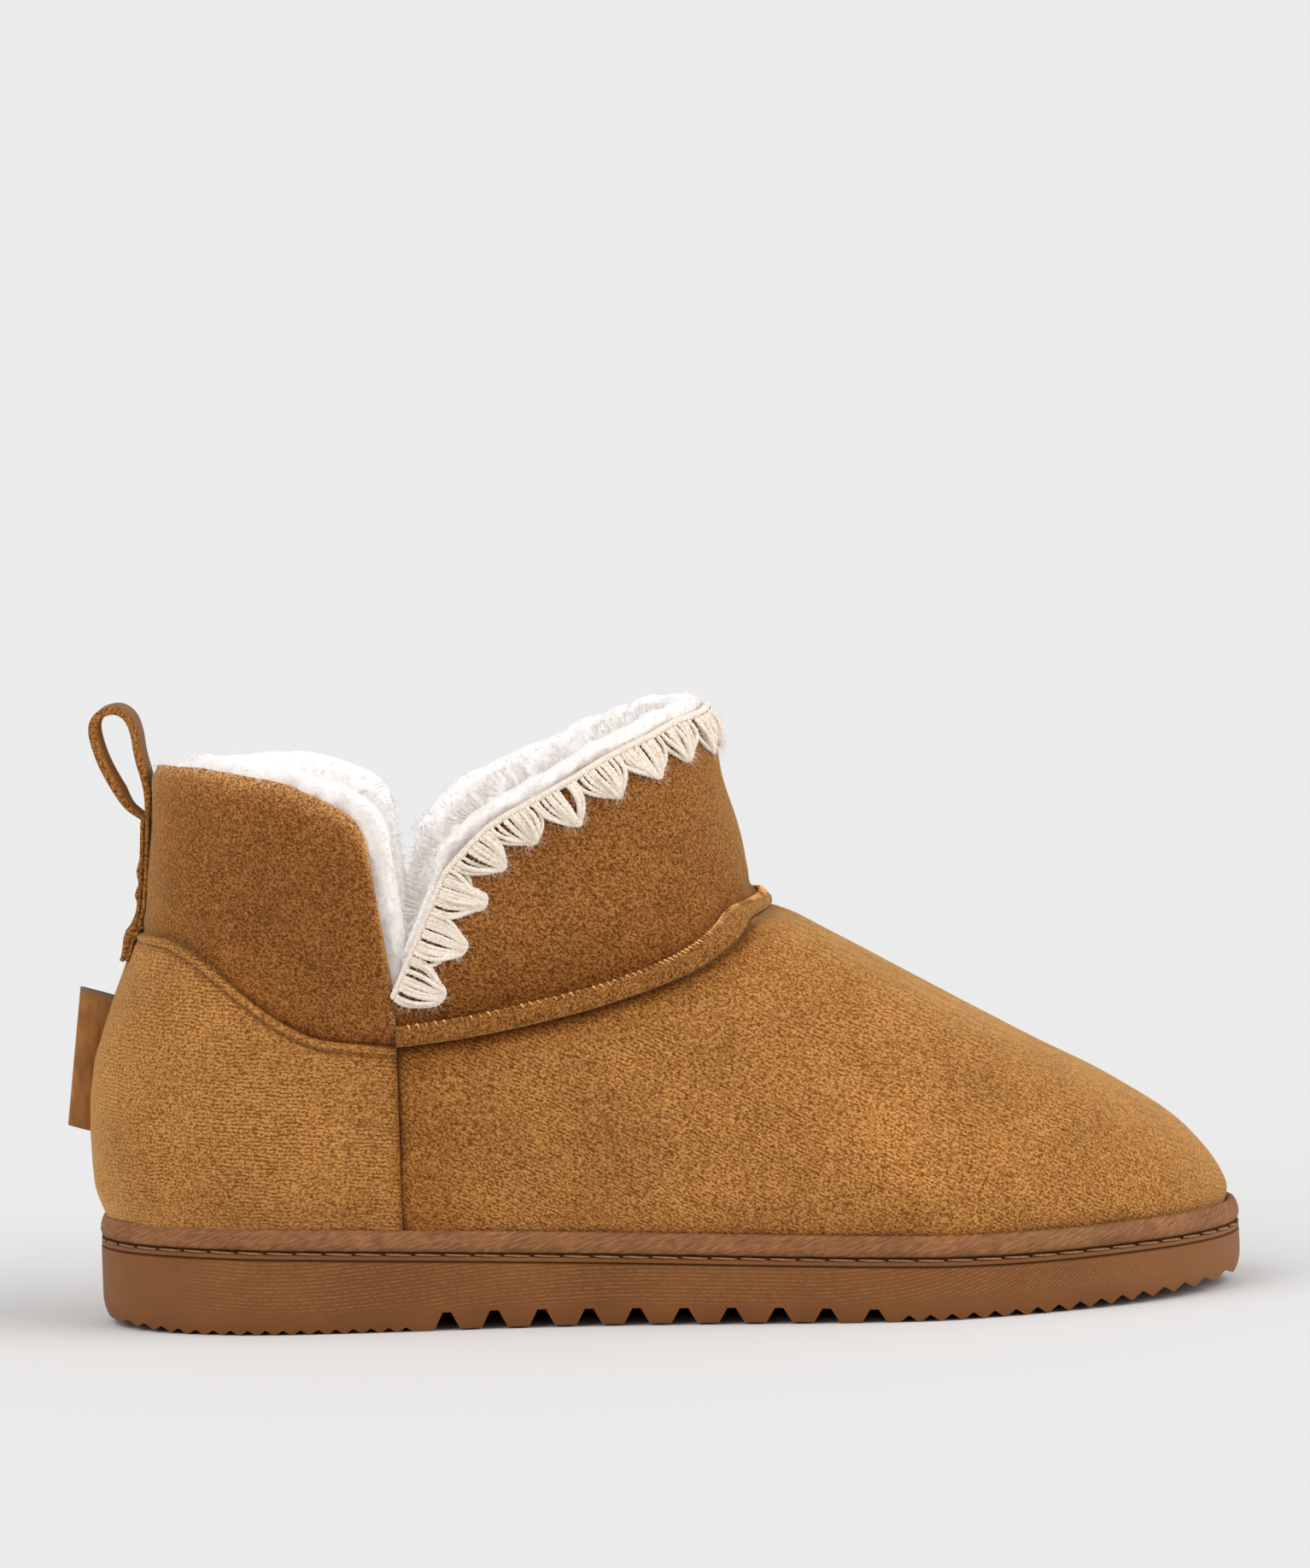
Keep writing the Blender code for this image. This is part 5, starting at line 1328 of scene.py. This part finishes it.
# Crochet edging: cream two-ply yarn worked over the front collar. Each fan gathers its strands
# in a round tip on the suede, and a chain of small loops lies along the edge.
FAN_COUNT = 21
FAN_LENGTH = 0.0092
NOTCH_FANS = 3
STRANDS = 14
YARN_OUT = 0.0007
PLY_RADIUS = 0.00042
WALK_TURN = 0.005
WALK_RISE = 0.0005
share_up = np.linspace(0.0, 1.0, 241)
steps = NOTCH_HEIGHT + (FRONT_NOTCH_TOP - NOTCH_HEIGHT) * np.linspace(0.0, 1.0, 121)
edge_angle = np.concatenate([front_angle(0 * steps, steps),
                             front_angle(share_up[1:], front_collar_height(share_up[1:]))])
edge_height = np.concatenate([steps, front_collar_height(share_up[1:])])
edge_angle = np.concatenate([-edge_angle, edge_angle[-2::-1]])
edge_height = np.concatenate([edge_height, edge_height[-2::-1]])
edge_points = bare_point(wrap(edge_angle), edge_height)
edge_reach = reach_along(edge_points, 0)
edge_turn = np.where(edge_angle < 0, edge_angle, edge_angle - 2 * np.pi)
EDGE_LENGTH = float(edge_reach[-1])
FAN_PITCH = EDGE_LENGTH / FAN_COUNT


def on_edge(reach):
    """Angle and height on the front collar's edge at distances along it."""
    turn = np.interp(reach, edge_reach, edge_turn)
    return wrap(turn), np.interp(reach, edge_reach, edge_height)


def across_edge(reach):
    """Direction over the suede, away from the edge."""
    before, behind = on_edge(reach - 0.0009), on_edge(reach + 0.0009)
    here = on_edge(reach)
    along = unit(bare_point(*behind) - bare_point(*before))
    return along, unit(np.cross(along, upper_normal(*here)))


def walk(angle, height, direction, distance, steps=5):
    """Angles and heights reached by going a distance over the upper."""
    for _ in range(steps):
        here = bare_point(wrap(angle), height)
        around = (bare_point(wrap(angle + WALK_TURN), height) - here) / WALK_TURN
        upward = (bare_point(wrap(angle), height + WALK_RISE) - here) / WALK_RISE
        move = direction * (distance / steps)[..., None]
        aa, ab, bb = (around * around).sum(-1), (around * upward).sum(-1), (upward * upward).sum(-1)
        am, bm = (around * move).sum(-1), (upward * move).sum(-1)
        det = aa * bb - ab * ab
        angle = angle + (am * bb - bm * ab) / det
        height = height + (bm * aa - am * ab) / det
    return wrap(angle), height


def crochet_point(reach, down, out):
    """Point at a distance along the edge, a distance down from it, and out from the suede."""
    angle, height = on_edge(reach)
    _, away = across_edge(reach)
    angle, height = walk(angle, height, away, down)
    return upper_point(angle, height, out), upper_normal(angle, height)


def work_fans(draw, depth_scale, base_out, tip_out):
    """Strand paths of every fan as distances along, down and out, and the fan of each strand."""
    t = np.linspace(0.0, 1.0, 12)
    reach, down, out, fan_of = [], [], [], []
    for fan in range(FAN_COUNT):
        centre = (fan + 0.5) * FAN_PITCH
        low_fan = min(fan, FAN_COUNT - 1 - fan) < NOTCH_FANS
        way = 1 if fan < FAN_COUNT / 2 else -1
        depth = FAN_LENGTH * (1.12 if low_fan else 1.0) * depth_scale * (1 + 0.05 * draw.normal())
        lean = (0.06 if low_fan else 0.19) * FAN_PITCH * way + 0.03 * FAN_PITCH * draw.normal()
        strands = STRANDS + (4 if low_fan else 0)
        for k in range(strands):
            # The strands crowd on the fan's far side and leave small gaps on the near one
            u = way * (2 * (k / (strands - 1)) ** (0.90 if low_fan else 0.70) - 1) + 0.10 * draw.normal()
            foot = np.clip(centre + 0.50 * FAN_PITCH * u, 0.0012, EDGE_LENGTH - 0.0012)
            tip = centre + lean + (0.20 if low_fan else 0.11) * FAN_PITCH * u
            belly = 0.20 * FAN_PITCH * u
            reach.append(foot + (tip - foot) * t**1.25 + belly * np.sin(np.pi * t) * 0.55)
            length = depth * (1 - (0.20 if low_fan else 0.10) * u * u) * (1 + 0.04 * draw.normal())
            down.append(-0.0004 + length * t)
            swell = 0.00085 * np.sin(np.pi * np.clip(t * 0.95, 0, 1)) * (1 - 0.35 * u * u)
            loose = 0.00045 * draw.normal() * np.sin(np.pi * t)
            out.append(base_out + (tip_out - base_out) * t + swell + loose)
            fan_of.append(fan)
    return np.array(reach), np.array(down), np.array(out), np.array(fan_of)


def ply(paths, ways, gap, twist):
    """Two plies wound round each path."""
    along = unit(np.gradient(paths, axis=1))
    cross = unit(np.cross(along, ways))
    lift = np.cross(cross, along)
    reach = np.concatenate([np.zeros((len(paths), 1)),
                            np.cumsum(np.linalg.norm(np.diff(paths, axis=1), axis=-1), axis=1)], axis=1)
    turn = reach * 2 * np.pi / twist + np.arange(len(paths))[:, None] * 1.7
    offset = cross * np.cos(turn)[..., None] + lift * np.sin(turn)[..., None]
    return np.concatenate([paths + offset * gap, paths - offset * gap]), np.concatenate([ways, ways])


def yarn_material(name, dark, light):
    """Matt, slightly fuzzy acrylic yarn."""
    material, tree, shader = new_finish(name, 0.95, sheen=0.35, sheen_roughness=0.5,
                                        sheen_tint=(1.0, 0.96, 0.9), specular=0.05)
    place = own_place(tree)
    fuzz = speckle(tree, place, 0.0008, 3.0, 0.6)
    tone = ramp(tree, fuzz, (0.32, dark), (0.66, light))
    tree.links.new(tone, shader.inputs["Base Color"])
    tree.links.new(raise_by(tree, fuzz, 0.0002, 0.5), shader.inputs["Normal"])
    return material


cream_yarn = yarn_material("cream_yarn", (0.81, 0.67, 0.54), (0.98, 0.90, 0.79))
draw = np.random.default_rng(61)
reach, down, out, fan_of = work_fans(draw, 1.0, YARN_OUT, YARN_OUT * 0.9)
paths, ways = crochet_point(reach, down, out)
plies, ply_ways = ply(paths, ways, 0.00021, 0.0024)
t = np.linspace(0.0, 1.0, plies.shape[1])
radius = PLY_RADIUS * (1 + 0.22 * t) * np.clip(np.minimum(1.0, 0.35 + 6 * (1 - t)), 0.2, 1.0)
points, faces = tubes(plies, radius, 6, ply_ways)
add_piece("crochet_fans", mesh_of("crochet_fans", points, faces), cream_yarn, "yarn", "crochet_edging")

# Rounded tips: a short strand loops round the end of each fan
t = np.linspace(-1.0, 1.0, 14)
tip_reach, tip_down = [], []
for fan in range(FAN_COUNT):
    middle, end = reach[fan_of == fan, -1].mean(), down[fan_of == fan, -1].max()
    for ring in range(3):
        wide = ((0.20 if min(fan, FAN_COUNT - 1 - fan) < NOTCH_FANS else 0.11) - 0.03 * ring) * FAN_PITCH
        tip_reach.append(middle + wide * np.sin(t * 1.45))
        tip_down.append(end - 0.00020 - 0.00045 * ring - 0.0020 * (1 - np.cos(t * 1.45)))
tip_reach, tip_down = np.array(tip_reach), np.array(tip_down)
paths, ways = crochet_point(tip_reach, tip_down, 0 * tip_reach + YARN_OUT * 1.3)
plies, ply_ways = ply(paths, ways, 0.00016, 0.0019)
points, faces = tubes(plies, 0.00027, 6, ply_ways)
add_piece("crochet_tips", mesh_of("crochet_tips", points, faces), cream_yarn, "yarn", "crochet_edging")

# Chain: three strands that wind round one another along the edge, a loop for each stitch
CHAIN_PITCH = 0.0021
CHAIN_ENDS = 0.0012
chain_reach = np.linspace(0.0, 1.0, 900) * (EDGE_LENGTH - 2 * CHAIN_ENDS) + CHAIN_ENDS
wave = 2 * np.pi * chain_reach / CHAIN_PITCH + np.array([[0.0], [2.1], [4.2]])
paths, ways = crochet_point(chain_reach + 0 * wave, -0.0009 + 0.00055 * np.sin(wave),
                            0.0001 + 0.00060 * np.cos(wave))
points, faces = tubes(paths, PLY_RADIUS, 5, ways)
add_piece("crochet_chain", mesh_of("crochet_chain", points, faces), cream_yarn, "yarn", "crochet_edging")

# The same fans turned over on the inside of the collar, sunk in the fleece
draw = np.random.default_rng(71)
inside_out = -(UPPER_WALL + FLEECE_CLEARANCE + FLEECE_THICKNESS - 0.0001)
reach_in, down_in, out_in, _ = work_fans(draw, 0.92, 0.0, 0.0)
out_in = inside_out - 0.0006 * np.sin(np.pi * np.linspace(0, 1, 12))[None, :] + 0 * out_in
near_end = np.clip(1 - (EDGE_LENGTH - reach_in) / 0.070, 0.0, 1.0)
paths, ways = crochet_point(reach_in, down_in - 0.0034 - 0.0060 * near_end, out_in)
plies, ply_ways = ply(paths, ways, 0.00016, 0.0020)
points, faces = tubes(plies, 0.00027, 5, ply_ways)
# Painted light: the inside fans take a paler copy of the cream yarn
lit_cream_yarn = yarn_material("lit_cream_yarn", (0.92, 0.86, 0.78), (1.0, 0.98, 0.94))
add_piece("crochet_fans_inside", mesh_of("crochet_fans_inside", points, faces), lit_cream_yarn, "yarn",
          "crochet_edging")

# Loose hairs of the yarn round the fans
draw = np.random.default_rng(81)
HAIRS = 5200
HAIR_LENGTH = 0.0032
HAIR_WIDTH = 0.00009
pick = draw.integers(0, len(reach), size=HAIRS)
station = draw.uniform(0.15, 1.0, size=HAIRS)
at = station * (reach.shape[1] - 1)
i = np.minimum(at.astype(int), reach.shape[1] - 2)
f = at - i
hair_reach = reach[pick, i] * (1 - f) + reach[pick, i + 1] * f
hair_down = down[pick, i] * (1 - f) + down[pick, i + 1] * f
roots, ways = crochet_point(hair_reach, hair_down, 0 * hair_down + YARN_OUT)
along, away = across_edge(hair_reach)
lean = away * (0.9 * station[:, None] ** 2) + along * draw.normal(size=(HAIRS, 1)) * 0.7
outs = unit(ways * 0.8 + lean)
points, faces = curl_field(draw, roots, outs, HAIR_LENGTH, HAIR_WIDTH)
add_piece("crochet_hairs", mesh_of("crochet_hairs", points, faces), cream_yarn, "yarn", "crochet_edging")

# Pull loop: a doubled strip of the suede cloth, its free end a loop above the collar and its
# tail sewn down the back seam, where the stitches draw it into puffs.
STRIP_WIDTH = 0.0120
STRIP_THICKNESS = 0.0011
LOOP_THICKNESS = 0.0019
LOOP_THICKENING = 0.006
LOOP_TURN = 0.0010
LOOP_JOIN_HEIGHT = 0.1190
LOOP_RISE = 0.0262
LOOP_REACH = 0.0130
TAIL_END_HEIGHT = 0.0856
# foot, length and size of the swells between the rows of stitches that hold the tail
PUFFS = ((0.0860, 0.0105, 0.0008), (0.0990, 0.0040, 0.0007), (0.1035, 0.0060, 0.0006))
# how far back and how far up the loop's outer line goes, as shares of its reach and rise
LOOP_PATH = ((0.36, 0.10), (0.59, 0.28), (0.81, 0.50), (0.94, 0.71), (0.95, 0.85), (0.80, 0.945),
             (0.53, 0.97), (0.32, 0.90), (0.21, 0.76), (0.15, 0.55))


def back_x(height):
    """Place of the back seam's outer face along the foot."""
    height = np.asarray(height, float)
    proud = np.where(height <= COUNTER_BACK_HEIGHT, COUNTER_STEP, 0.0)
    return bare_point(0 * height, height)[..., 0] - proud


def rounded_path(points, pieces):
    """Smooth curve through points."""
    path = []
    ends = [points[0]] + points + [points[-1]]
    for a, b, c, d in zip(ends, ends[1:], ends[2:], ends[3:]):
        for step in range(pieces):
            t = step / pieces
            path.append([0.5 * (2 * q + (r - p) * t + (2 * p - 5 * q + 4 * r - s) * t * t
                                + (3 * q - p - 3 * r + s) * t**3) for p, q, r, s in zip(a, b, c, d)])
    return np.array(path + [list(points[-1])])


inner_gap = STRIP_THICKNESS / 2 - 0.0002
outer_gap = inner_gap + STRIP_THICKNESS
heights = TAIL_END_HEIGHT + (LOOP_JOIN_HEIGHT - TAIL_END_HEIGHT) * np.arange(25) / 24
puff = sum(size * np.sin(np.pi * np.clip((heights - foot) / length, 0, 1)) ** 2
           for foot, length, size in PUFFS)
tail = [(x, z) for x, z in zip(back_x(heights) - outer_gap - puff / 2, heights)]
panel = float(back_x(LOOP_JOIN_HEIGHT))
loop = [(panel - back * LOOP_REACH, LOOP_JOIN_HEIGHT + up * LOOP_RISE) for back, up in LOOP_PATH]
leg_rise = (BACK_COLLAR_HEIGHT - LOOP_JOIN_HEIGHT) / 2
leg = [(float(back_x(h)) - inner_gap, float(h)) for h in (LOOP_JOIN_HEIGHT + leg_rise, LOOP_JOIN_HEIGHT)]
inner_tail = [(float(back_x(h)) - inner_gap, float(h)) for h in heights[-2::-1]]
outer_path = rounded_path([tuple(map(float, p)) for p in tail] + loop + leg + inner_tail, 4)
tangent = unit(np.gradient(outer_path, axis=0))
face_out = np.stack([-tangent[:, 1], tangent[:, 0]], axis=-1)
stations = len(outer_path)
# Section across the strip, its long sides turned in and softly rounded
STRIP_SECTION = ((-1.00, 0.00), (-0.985, 0.62), (-0.93, 0.95), (-0.80, 1.00), (-0.40, 0.98),
                 (0.00, 1.00), (0.40, 0.98), (0.80, 1.00), (0.93, 0.95), (0.985, 0.62),
                 (1.00, 0.00), (0.985, -0.62), (0.93, -0.95), (0.80, -1.00), (0.40, -0.98),
                 (0.00, -1.00), (-0.40, -0.98), (-0.80, -1.00), (-0.93, -0.95), (-0.985, -0.62))
section = np.array(STRIP_SECTION)
points = np.zeros((stations, len(section), 3))
# The free loop is thicker than the pressed tail, and turned a little towards the toe
free = np.clip((outer_path[:, 1] - LOOP_JOIN_HEIGHT) / LOOP_THICKENING, 0.0, 1.0)
thick = STRIP_THICKNESS * (1 + (LOOP_THICKNESS / STRIP_THICKNESS - 1) * free)
tail_puff = np.interp(outer_path[:, 1], heights, puff) * (np.arange(stations) < stations / 2)
offset = section[:, 1] * (thick + tail_puff)[:, None] / 2
points[:, :, 0] = outer_path[:, :1] + face_out[:, :1] * offset
points[:, :, 2] = outer_path[:, 1:] + face_out[:, 1:] * offset
points[:, :, 1] = section[:, 0] * STRIP_WIDTH / 2
points[:, :, 0] += LOOP_TURN * free[:, None] * (section[:, 0] + 1) / 2
strip_mesh = mesh_of("pull_loop_strip", points, tube_faces(1, stations, len(section)),
                     face_side=np.broadcast_to(section[:, 1], points.shape[:2]),
                     cut_edge=np.broadcast_to(np.abs(section[:, 0]), points.shape[:2]))
strip_cloth, tree, shader = new_finish("pull_loop_cloth", 0.9, sheen=0.4, sheen_roughness=0.3,
                                       sheen_tint=(1.0, 0.66, 0.32), specular=0.0)
place = own_place(tree)
grain = speckle(tree, place, 0.00070, 2.0, 0.6)
napped = ramp(tree, grain, (0.34, (0.190, 0.068, 0.015)), (0.50, (0.330, 0.132, 0.031)),
              (0.66, (0.470, 0.207, 0.056)))
plain = ramp(tree, grain, (0.30, (0.135, 0.070, 0.034)), (0.70, (0.235, 0.128, 0.064)))
facing = maths(tree, "MULTIPLY_ADD", mark_of(tree, "face_side"), 0.5, 0.5)
inward = ramp(tree, facing, (0.35, 0.0), (0.60, 1.0))
tone = blend(tree, inward, napped, plain)
edge_share = ramp(tree, mark_of(tree, "cut_edge"), (0.90, 0.0), (0.97, 1.0))
cut_tone = ramp(tree, speckle(tree, place, 0.0007, 2.0), (0.38, (0.150, 0.052, 0.012)),
                (0.62, (0.470, 0.205, 0.055)))
tone = blend(tree, edge_share, tone, cut_tone)
tree.links.new(tone, shader.inputs["Base Color"])
tree.links.new(raise_by(tree, grain, 0.0005, 0.5), shader.inputs["Normal"])
add_piece("pull_loop_strip", strip_mesh, strip_cloth, "suede", "pull_loop")

# Heel tag: a short end of woven satin ribbon, folded at its rear edge, with both cut ends caught
# in the back seam. It is left bare, and its fold stands a little open.
TAG_BOTTOM = 0.0468
TAG_HEIGHT = 0.0325
TAG_REACH_BOTTOM = 0.0048
TAG_REACH_TOP = 0.0086
TAG_WIDTH = 0.0026
TAG_THICKNESS = 0.0005
TAG_SLANT = 0.30
TAG_FOLD = 0.08
tag_rows = 60
share = np.linspace(0.0, 1.0, tag_rows)
height = TAG_BOTTOM + share * TAG_HEIGHT
front = back_x(height) + 0.0008
foot = float(back_x(TAG_BOTTOM)) - TAG_REACH_BOTTOM
head = float(back_x(TAG_BOTTOM + TAG_HEIGHT)) - TAG_REACH_TOP
rear = foot + (head - foot) * share
half = (TAG_WIDTH - TAG_THICKNESS) / 2
turn = np.linspace(-np.pi / 2, np.pi / 2, 9)
leaf = np.linspace(TAG_FOLD, 1.0, 12)
section_u = np.concatenate([leaf[::-1], TAG_FOLD - TAG_FOLD * np.cos(turn), leaf])
section_v = np.concatenate([np.full(12, -1.0), np.sin(turn), np.full(12, 1.0)])
outer_y = section_v[None, :] * half * (0.62 + 0.38 * np.cos(np.pi * (section_u[None, :] - 0.5) * 0.9))
tag_x = rear[:, None] + (front - rear)[:, None] * section_u[None, :]
bow = 0.00025 * np.sin(np.pi * share * 2.0 + 0.6)[:, None] * (1 - section_u[None, :])
tag_y = outer_y + bow
# Both ends are cut on a slant and rise towards the fold
tag_z = height[:, None] - TAG_SLANT * (tag_x - rear[:, None])
skin = np.stack([tag_x, tag_y, tag_z], axis=-1)
around = unit(np.gradient(skin, axis=1))
upward = unit(np.gradient(skin, axis=0))
skin_out = unit(np.cross(around, upward))
outer, inner = skin + skin_out * TAG_THICKNESS / 2, skin - skin_out * TAG_THICKNESS / 2
# The top rows are darker and greyer
cut_line = np.clip(1.4 - (1 - share) * TAG_HEIGHT / 0.0010, 0, 1)[:, None] + 0 * tag_x
tag_mesh = mesh_of("heel_tag_ribbon", both_skins(outer, inner), thick_faces(*tag_x.shape)[:, ::-1],
                   cut_line=both_skins(cut_line, cut_line))
satin, tree, shader = new_finish("satin_ribbon", 0.42, specular=0.3)
place = own_place(tree)
ribs = maths(tree, "SINE", maths(tree, "MULTIPLY", node(tree, "SeparateXYZ", {0: place}, out=2),
                                 2 * math.pi / 0.00045))
cloudy = speckle(tree, node(tree, "Mapping", {"Vector": place, "Scale": (1.0, 1.0, 0.25)}), 0.0016, 3.0)
tone = ramp(tree, cloudy, (0.30, (0.245, 0.092, 0.016)), (0.70, (0.385, 0.158, 0.033)))
tone = blend(tree, maths(tree, "MULTIPLY", mark_of(tree, "cut_line"), 0.7), tone, (0.150, 0.110, 0.100))
tree.links.new(tone, shader.inputs["Base Color"])
tree.links.new(raise_by(tree, ribs, 0.00004, 0.4), shader.inputs["Normal"])
add_piece("heel_tag_ribbon", tag_mesh, satin, "ribbon", "heel_tag")

# Studio: a floor of pale matt paper that runs on out of sight, an even soft sky, and two big soft
# lamps in front of the shoe and above it, one on the left and a stronger one on the right.
FLOOR_REACH = 60.0
SKY_STRENGTH = 0.50
floor_mesh = bpy.data.meshes.new("floor")
corners = [(x * FLOOR_REACH, y * FLOOR_REACH, 0) for x, y in ((-1, -1), (1, -1), (1, 1), (-1, 1))]
floor_mesh.from_pydata(corners, [], [(0, 1, 2, 3)])
floor = bpy.data.objects.new("floor", floor_mesh)
bpy.context.scene.collection.objects.link(floor)
paper, tree, shader = new_finish("studio_paper", 0.95, specular=0.0)
shader.inputs["Base Color"].default_value = (0.80, 0.80, 0.80, 1.0)
floor_mesh.materials.append(paper)

world = bpy.data.worlds.new("studio_sky")
world.use_nodes = True
sky = world.node_tree.nodes["Background"]
sky.inputs["Color"].default_value = (1.0, 1.0, 1.0, 1.0)
sky.inputs["Strength"].default_value = SKY_STRENGTH
bpy.context.scene.world = world

# name, strength, angle across in degrees, direction that the light travels
LAMPS = (
    ("left_lamp", 1.22, 55.0, (1.05, 0.75, -1.10)),
    ("right_lamp", 1.80, 55.0, (-1.35, 0.50, -0.85)),
)
for name, strength, across, way in LAMPS:
    light = bpy.data.lights.new(name, "SUN")
    light.energy = strength
    light.angle = math.radians(across)
    lamp = bpy.data.objects.new(name, light)
    bpy.context.scene.collection.objects.link(lamp)
    lamp.rotation_euler = Vector(way).to_track_quat("-Z", "Y").to_euler()

# Camera: square to the outer side, a little above the shoe, with the photo's slight tilt of the
# shoe given by a roll of the camera
CAMERA_PLACE = (0.0150, -3.50036, 0.47778)
CAMERA_PITCH = math.atan(0.3554 / 3.5)
CAMERA_ROLL = math.radians(1.9)
CAMERA_LENS = 344.9
CAMERA_FILM = 36.0
CAMERA_SIGHT = 200.0
data = bpy.data.cameras.new("camera")
data.lens = CAMERA_LENS
data.sensor_width = CAMERA_FILM
data.clip_end = CAMERA_SIGHT
camera = bpy.data.objects.new("camera", data)
bpy.context.scene.collection.objects.link(camera)
right = Vector((math.cos(CAMERA_ROLL), 0.0, -math.sin(CAMERA_ROLL)))
ahead = Vector((-math.sin(CAMERA_PITCH) * math.sin(CAMERA_ROLL), math.cos(CAMERA_PITCH),
                -math.sin(CAMERA_PITCH) * math.cos(CAMERA_ROLL)))
up = right.cross(ahead)
camera.matrix_world = Matrix.Translation(CAMERA_PLACE) @ Matrix((right, up, -ahead)).transposed().to_4x4()
bpy.context.scene.camera = camera
bpy.context.scene.view_settings.view_transform = "Standard"
